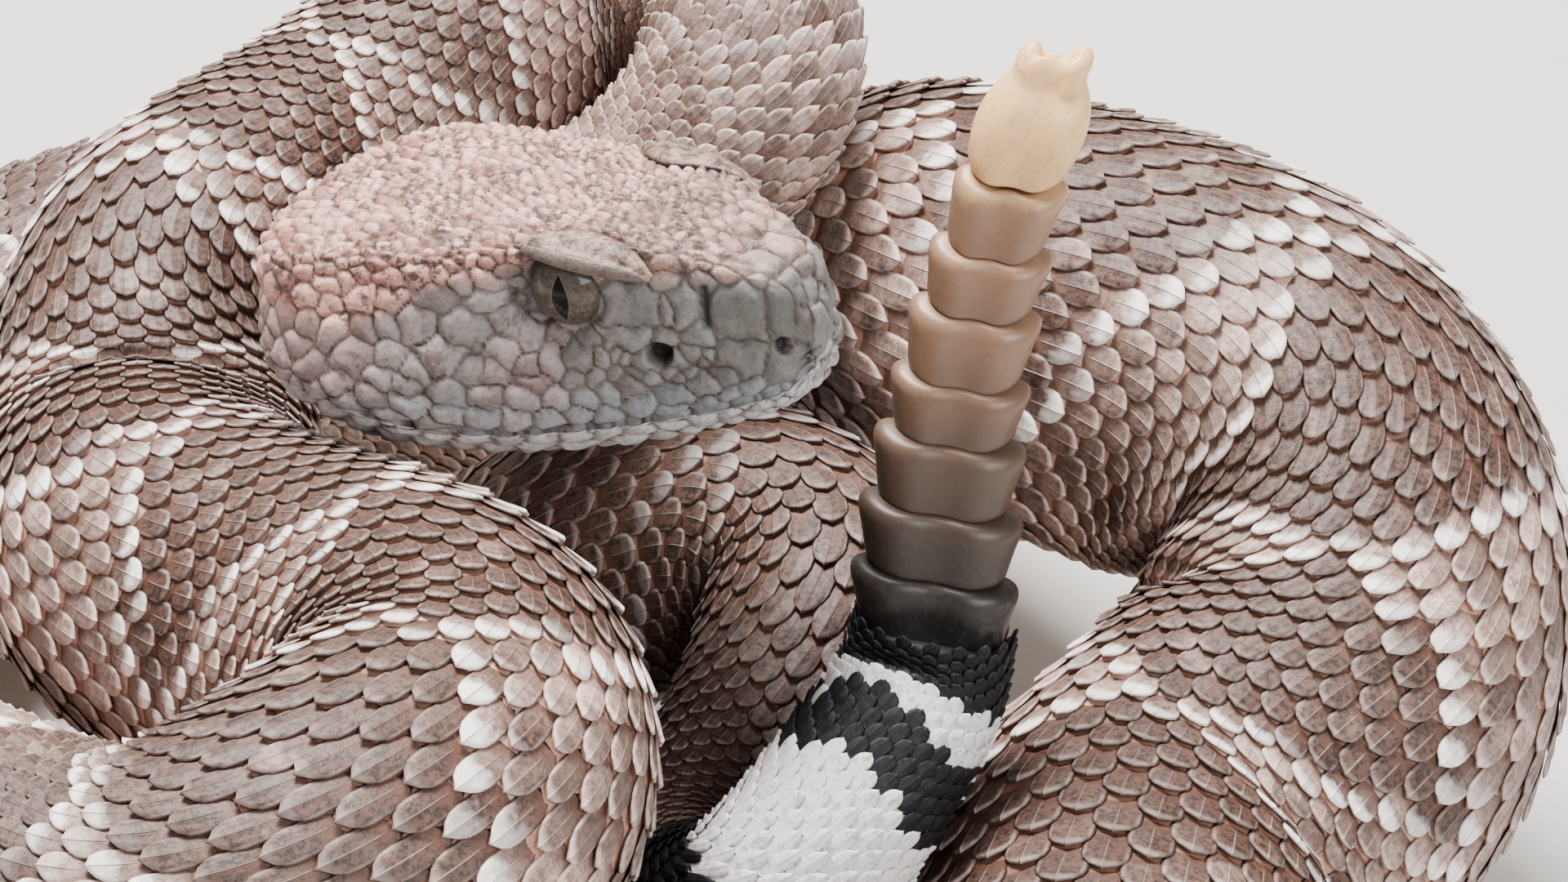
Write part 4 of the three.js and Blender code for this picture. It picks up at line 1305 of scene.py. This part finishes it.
headColours = {
    "top": (0.34, 0.14, 0.105),
    "topPale": (1.0, 0.56, 0.47),
    "snout": (0.31, 0.23, 0.175),
    "side": (0.17, 0.15, 0.14),
    "sidePale": (0.37, 0.335, 0.32),
    "front": (0.105, 0.10, 0.09),
    "frontPale": (0.25, 0.245, 0.23),
    "cheek": (0.46, 0.245, 0.225),
    "lip": (0.26, 0.285, 0.30),
    "jaw": (0.47, 0.455, 0.45),
    "fleck": (0.06, 0.034, 0.024),
    # groove: painted shade in the grooves between scales and along the brows' inner edges
    "groove": (0.05, 0.028, 0.02),
    "recessShade": (0.012, 0.008, 0.006),  # painted shade in the pit, nostril, slit and the crease over the brow
}


# Pinkish granular top with brown flecks, grey sides that darken to the snout, pinkish cheeks and a pale
# lower lip; the grooves between the scales are painted dark as shade.
def headMaterial():
    material, shader, surface = newMaterial("headKeratin", rough=0.5)
    c = headColours
    groove, top, chance = coloursOf(shader, "marks")
    dark, below, stripe = coloursOf(shader, "regions")
    lips, front, cheek = coloursOf(shader, "zones")
    grains, grainHeight = addSpeckle(shader, 1700, 0.45)
    blots, blotHeight = addSpeckle(shader, 650, 0.35)
    clouds = shader.noise(190, 4, 0.6)
    tone = shader.ramp(shader.plus(shader.times(chance, 0.6), clouds), 0.45, 1.05)
    upper = shader.mix(tone, c["top"], c["topPale"])
    upper = shader.mix(shader.times(front, 0.6), upper, c["snout"])
    flecks = addSpeckle(shader, 820, 0.5)[0]
    flecks = shader.times(flecks, shader.ramp(shader.noise(230, 3, 0.6), 0.42, 0.54))
    upper = shader.mix(shader.times(flecks, 0.9), upper, c["fleck"])
    side = shader.mix(tone, c["side"], c["sidePale"])
    side = shader.mix(front, side, shader.mix(tone, c["front"], c["frontPale"]))
    rosy = shader.plus(shader.times(chance, 0.25), shader.noise(110, 3, 0.5))
    rosy = shader.math("MAXIMUM", shader.minus(shader.ramp(rosy, 0.6, 0.9), front), cheek)
    side = shader.mix(shader.times(rosy, 0.5), side, c["cheek"])
    side = shader.mix(shader.times(lips, 0.6), side, c["lip"])
    marked = shader.times(blots, shader.plus(0.22, shader.times(stripe, 0.3)))
    side = shader.mix(marked, side, c["fleck"])
    colour = shader.mix(top, side, upper)
    colour = shader.mix(below, colour, c["jaw"])
    colour = shader.mix(shader.times(grains, 0.28), colour, c["fleck"])
    odd = shader.ramp(shader.plus(chance, shader.times(clouds, 0.6)), 1.1, 1.3)
    colour = shader.mix(shader.times(odd, 0.55), colour, c["fleck"])
    # Painted shade in the grooves between the scales.
    depth = shader.plus(0.75, shader.times(blots, 0.55))
    colour = shader.mix(shader.times(groove, depth, clamp=True), colour, c["groove"])
    # Painted shade in the pit, nostril, slit and brow crease.
    colour = shader.mix(dark, colour, c["recessShade"])
    shader.join(colour, surface.inputs["Base Color"])
    fine = shader.bump(grainHeight, 0.5, 0.00015)
    shader.join(shader.bump(blotHeight, 0.4, 0.00025, fine), surface.inputs["Normal"])
    return material


browColours = {
    "clouds": ((0.05, 0.028, 0.019), (0.40, 0.26, 0.195)),
    "grain": (0.09, 0.05, 0.035),
    "ridge": (0.14, 0.105, 0.085),
    "ridgeGrain": (0.06, 0.042, 0.032),
}


# A cloudy plate with a plain darker ridge along its outer edge and painted shade along its inner one, where
# it meets the head.
def browMaterial():
    material, shader, surface = newMaterial("browPlate", rough=0.45, specular=0.45)
    across = coloursOf(shader, "marks")[0]
    grains, grainHeight = addSpeckle(shader, 1100, 0.5)
    clouds = shader.noise(800, 4, 0.65)
    face = shader.mix(shader.ramp(clouds, 0.4, 0.6), *browColours["clouds"])
    face = shader.mix(shader.times(grains, 0.5), face, browColours["grain"])
    ridge = shader.mix(shader.times(grains, 0.5), browColours["ridge"], browColours["ridgeGrain"])
    colour = shader.mix(shader.ramp(across, 0.78, 0.9), face, ridge)
    # Painted shade along the inner edge, where the plate meets the head.
    colour = shader.mix(shader.ramp(across, 0.12, 0.0), colour, headColours["groove"])
    shader.join(colour, surface.inputs["Base Color"])
    fine = shader.bump(grainHeight, 0.5, 0.00015)
    shader.join(shader.bump(clouds, 0.6, 0.0004, fine), surface.inputs["Normal"])
    return material


eyeColours = {
    "iris": ((0.026, 0.021, 0.016), (0.125, 0.10, 0.078)),
    "rim": (0.17, 0.14, 0.105),
    "border": (0.02, 0.014, 0.01),
    "pupil": (0.002, 0.002, 0.003),
    "slit": (0.2, 0.6, 0.465),  # half width, half height and the place up of its middle
}


# Iris: fine streaks out from the slit, which is an upright ellipse drawn to a point at each end.
def eyeMaterial():
    material, shader, surface = newMaterial("wetEye", rough=0.35, coat=0.35, specular=0.12)
    surface.inputs["Coat Roughness"].default_value = 0.07
    uv = shader.add("ShaderNodeUVMap", uv_map="eyeUV")
    split = shader.add("ShaderNodeSeparateXYZ")
    shader.join(uv.outputs[0], split.inputs[0])
    halfWide, halfTall, middle = eyeColours["slit"]
    x = shader.times(shader.minus(split.outputs[0], 0.5), 2.0)
    y = shader.times(shader.minus(split.outputs[1], middle), 2.0)
    share = shader.math("ABSOLUTE", shader.math("DIVIDE", y, halfTall))
    tall = shader.minus(1.0, shader.math("POWER", share, 1.8))
    edge = shader.minus(shader.times(tall, halfWide), shader.math("ABSOLUTE", x))
    pupil = shader.ramp(edge, -0.008, 0.012)
    rim = shader.times(shader.ramp(edge, -0.05, -0.01), 0.5)
    reach = shader.math("SQRT", shader.plus(shader.times(x, x), shader.times(y, y)))
    spot = shader.add("ShaderNodeCombineXYZ")
    shader.join(shader.times(shader.math("ARCTAN2", y, x), 5.0), spot.inputs[0])
    shader.join(shader.times(reach, 3.0), spot.inputs[1])
    streaks = shader.noise(3.2, 5, 0.7, spot.outputs[0])
    fine = shader.noise(2600, 3, 0.6)
    mixed = shader.plus(shader.times(streaks, 0.6), shader.times(fine, 0.4))
    iris = shader.mix(shader.ramp(mixed, 0.36, 0.62), *eyeColours["iris"])
    iris = shader.mix(rim, iris, eyeColours["rim"])
    iris = shader.mix(shader.ramp(reach, 0.78, 0.95), iris, eyeColours["border"])
    shader.join(shader.mix(pupil, iris, eyeColours["pupil"]), surface.inputs["Base Color"])
    return material


hornColours = {
    "stops": (
        (0.0, (0.013, 0.011, 0.01)),
        (0.2, (0.038, 0.025, 0.018)),
        (0.45, (0.11, 0.064, 0.04)),
        (0.75, (0.28, 0.155, 0.09)),
        (1.0, (0.95, 0.57, 0.25)),
    ),
    "grain": (0.10, 0.07, 0.05),
}


# Horn: dark near the tail and cream at the tip, cloudy, and paler towards each segment's free edge, a
# painted highlight on its upper shoulder over painted shade towards its lower rim.
def hornMaterial(name, rough):
    material, shader, surface = newMaterial(name, rough=rough, specular=0.5)
    tone, along = coloursOf(shader, "marks")[:2]
    clouds = shader.noise(260, 4, 0.6)
    level = shader.plus(tone, shader.times(shader.minus(clouds, 0.5), 0.16))
    # Painted highlight towards each segment's upper free edge and painted shade towards its lower end.
    level = shader.plus(level, shader.times(shader.minus(along, 0.5), 0.2))
    ramp = shader.add("ShaderNodeValToRGB")
    elements = ramp.color_ramp.elements
    while len(elements) < len(hornColours["stops"]):
        elements.new(0.5)
    for element, (place, colour) in zip(elements, hornColours["stops"]):
        element.position = place
        element.color = (*colour, 1)
    shader.join(level, ramp.inputs[0])
    grains, grainHeight = addSpeckle(shader, 1600, 0.3)
    colour = shader.mix(shader.times(grains, 0.18), ramp.outputs[0], hornColours["grain"])
    shader.join(colour, surface.inputs["Base Color"])
    surface.inputs["Subsurface Weight"].default_value = 0.06
    surface.inputs["Subsurface Scale"].default_value = 0.001
    fine = shader.bump(grainHeight, 0.2, 0.0001)
    shader.join(shader.bump(clouds, 0.25, 0.0004, fine), surface.inputs["Normal"])
    return material


scaleFinish = scaleMaterial()
whiteFinish = tailMaterial("tailChalk", "white")
blackFinish = tailMaterial("tailBlack", "black")
makeSkin(skinMaterial())
makeCoat(scaleFinish, whiteFinish, blackFinish)
makeBelly(bellyMaterial(), whiteFinish, blackFinish)
makeHead(headMaterial())
makeBrows(browMaterial())
makeEyes(eyeMaterial())
makeRattle(hornMaterial("darkHorn", 0.42), hornMaterial("paleHorn", 0.38))


# Floor, light and camera. Distances of the camera are in mm, of the floor and the lights in metres.
studio = {
    "floor": 3.0,
    "floorColours": ((0.62, 0.60, 0.57), (0.68, 0.66, 0.63)),
    "sky": (0.92, 0.95, 1.0),
    "skyStrength": 0.34,
    "lightAim": (0, 0, 0.05),
    "lights": (  # name, place, watts, width and colour
        ("overhead", (-0.12, 0.26, 0.82), 28, 0.36, (1.0, 0.97, 0.95)),
        ("front", (0.5, -0.7, 0.6), 9, 0.5, (0.97, 0.98, 1.0)),
    ),
    "elevation": 33,
    "distance": 420,
    "pixelsPerMm": 14.0,
    "imageWidth": 1920,
    "sensor": 36,
    "aim": (22.1, -12.9),  # mm right of the head's middle and up from it, as seen in the picture
}


def makeStudio():
    size = studio["floor"]
    corners = np.array([[-size, -size, 0], [size, -size, 0], [size, size, 0], [-size, size, 0]])
    floor = newMesh("floor", corners / mm - coilShift, [np.array([[0, 1, 2, 3]])], smooth=False)
    material, shader, surface = newMaterial("paleFloor", rough=0.85)
    tint = shader.mix(shader.noise(6, 3, 0.5), *studio["floorColours"])
    shader.join(tint, surface.inputs["Base Color"])
    floor.data.materials.append(material)
    world = bpy.data.worlds.new("softLight")
    bpy.context.scene.world = world
    world.use_nodes = True
    background = world.node_tree.nodes["Background"]
    background.inputs["Color"].default_value = (*studio["sky"], 1)
    background.inputs["Strength"].default_value = studio["skyStrength"]
    for name, where, power, side, colour in studio["lights"]:
        light = bpy.data.lights.new(name, "AREA")
        light.energy, light.size, light.color = power, side, colour
        lamp = bpy.data.objects.new(name, light)
        bpy.context.scene.collection.objects.link(lamp)
        lamp.location = where
        beam = Vector(studio["lightAim"]) - Vector(where)
        lamp.rotation_euler = beam.to_track_quat("-Z", "Y").to_euler()


# The camera looks level with the picture's own tilt and far enough off for its scale of pixels to a mm.
def makeCamera():
    tilt = math.radians(studio["elevation"])
    upright = np.array([0, math.sin(tilt), math.cos(tilt)])
    ahead = np.array([0, math.cos(tilt), -math.sin(tilt)])
    right, up = studio["aim"]
    aim = np.array(head["centre"]) + right * np.array([1, 0, 0]) + up * upright
    lens = bpy.data.cameras.new("camera")
    camera = bpy.data.objects.new("camera", lens)
    bpy.context.scene.collection.objects.link(camera)
    camera.location = (aim - studio["distance"] * ahead + coilShift) * mm
    camera.rotation_euler = (math.radians(90 - studio["elevation"]), 0, 0)
    lens.sensor_width = studio["sensor"]
    width = studio["imageWidth"] / studio["pixelsPerMm"]
    lens.lens = studio["sensor"] * studio["distance"] / width
    lens.clip_start, lens.clip_end = 0.01, 10
    bpy.context.scene.camera = camera


makeStudio()
makeCamera()
print("floor, lights and camera set")
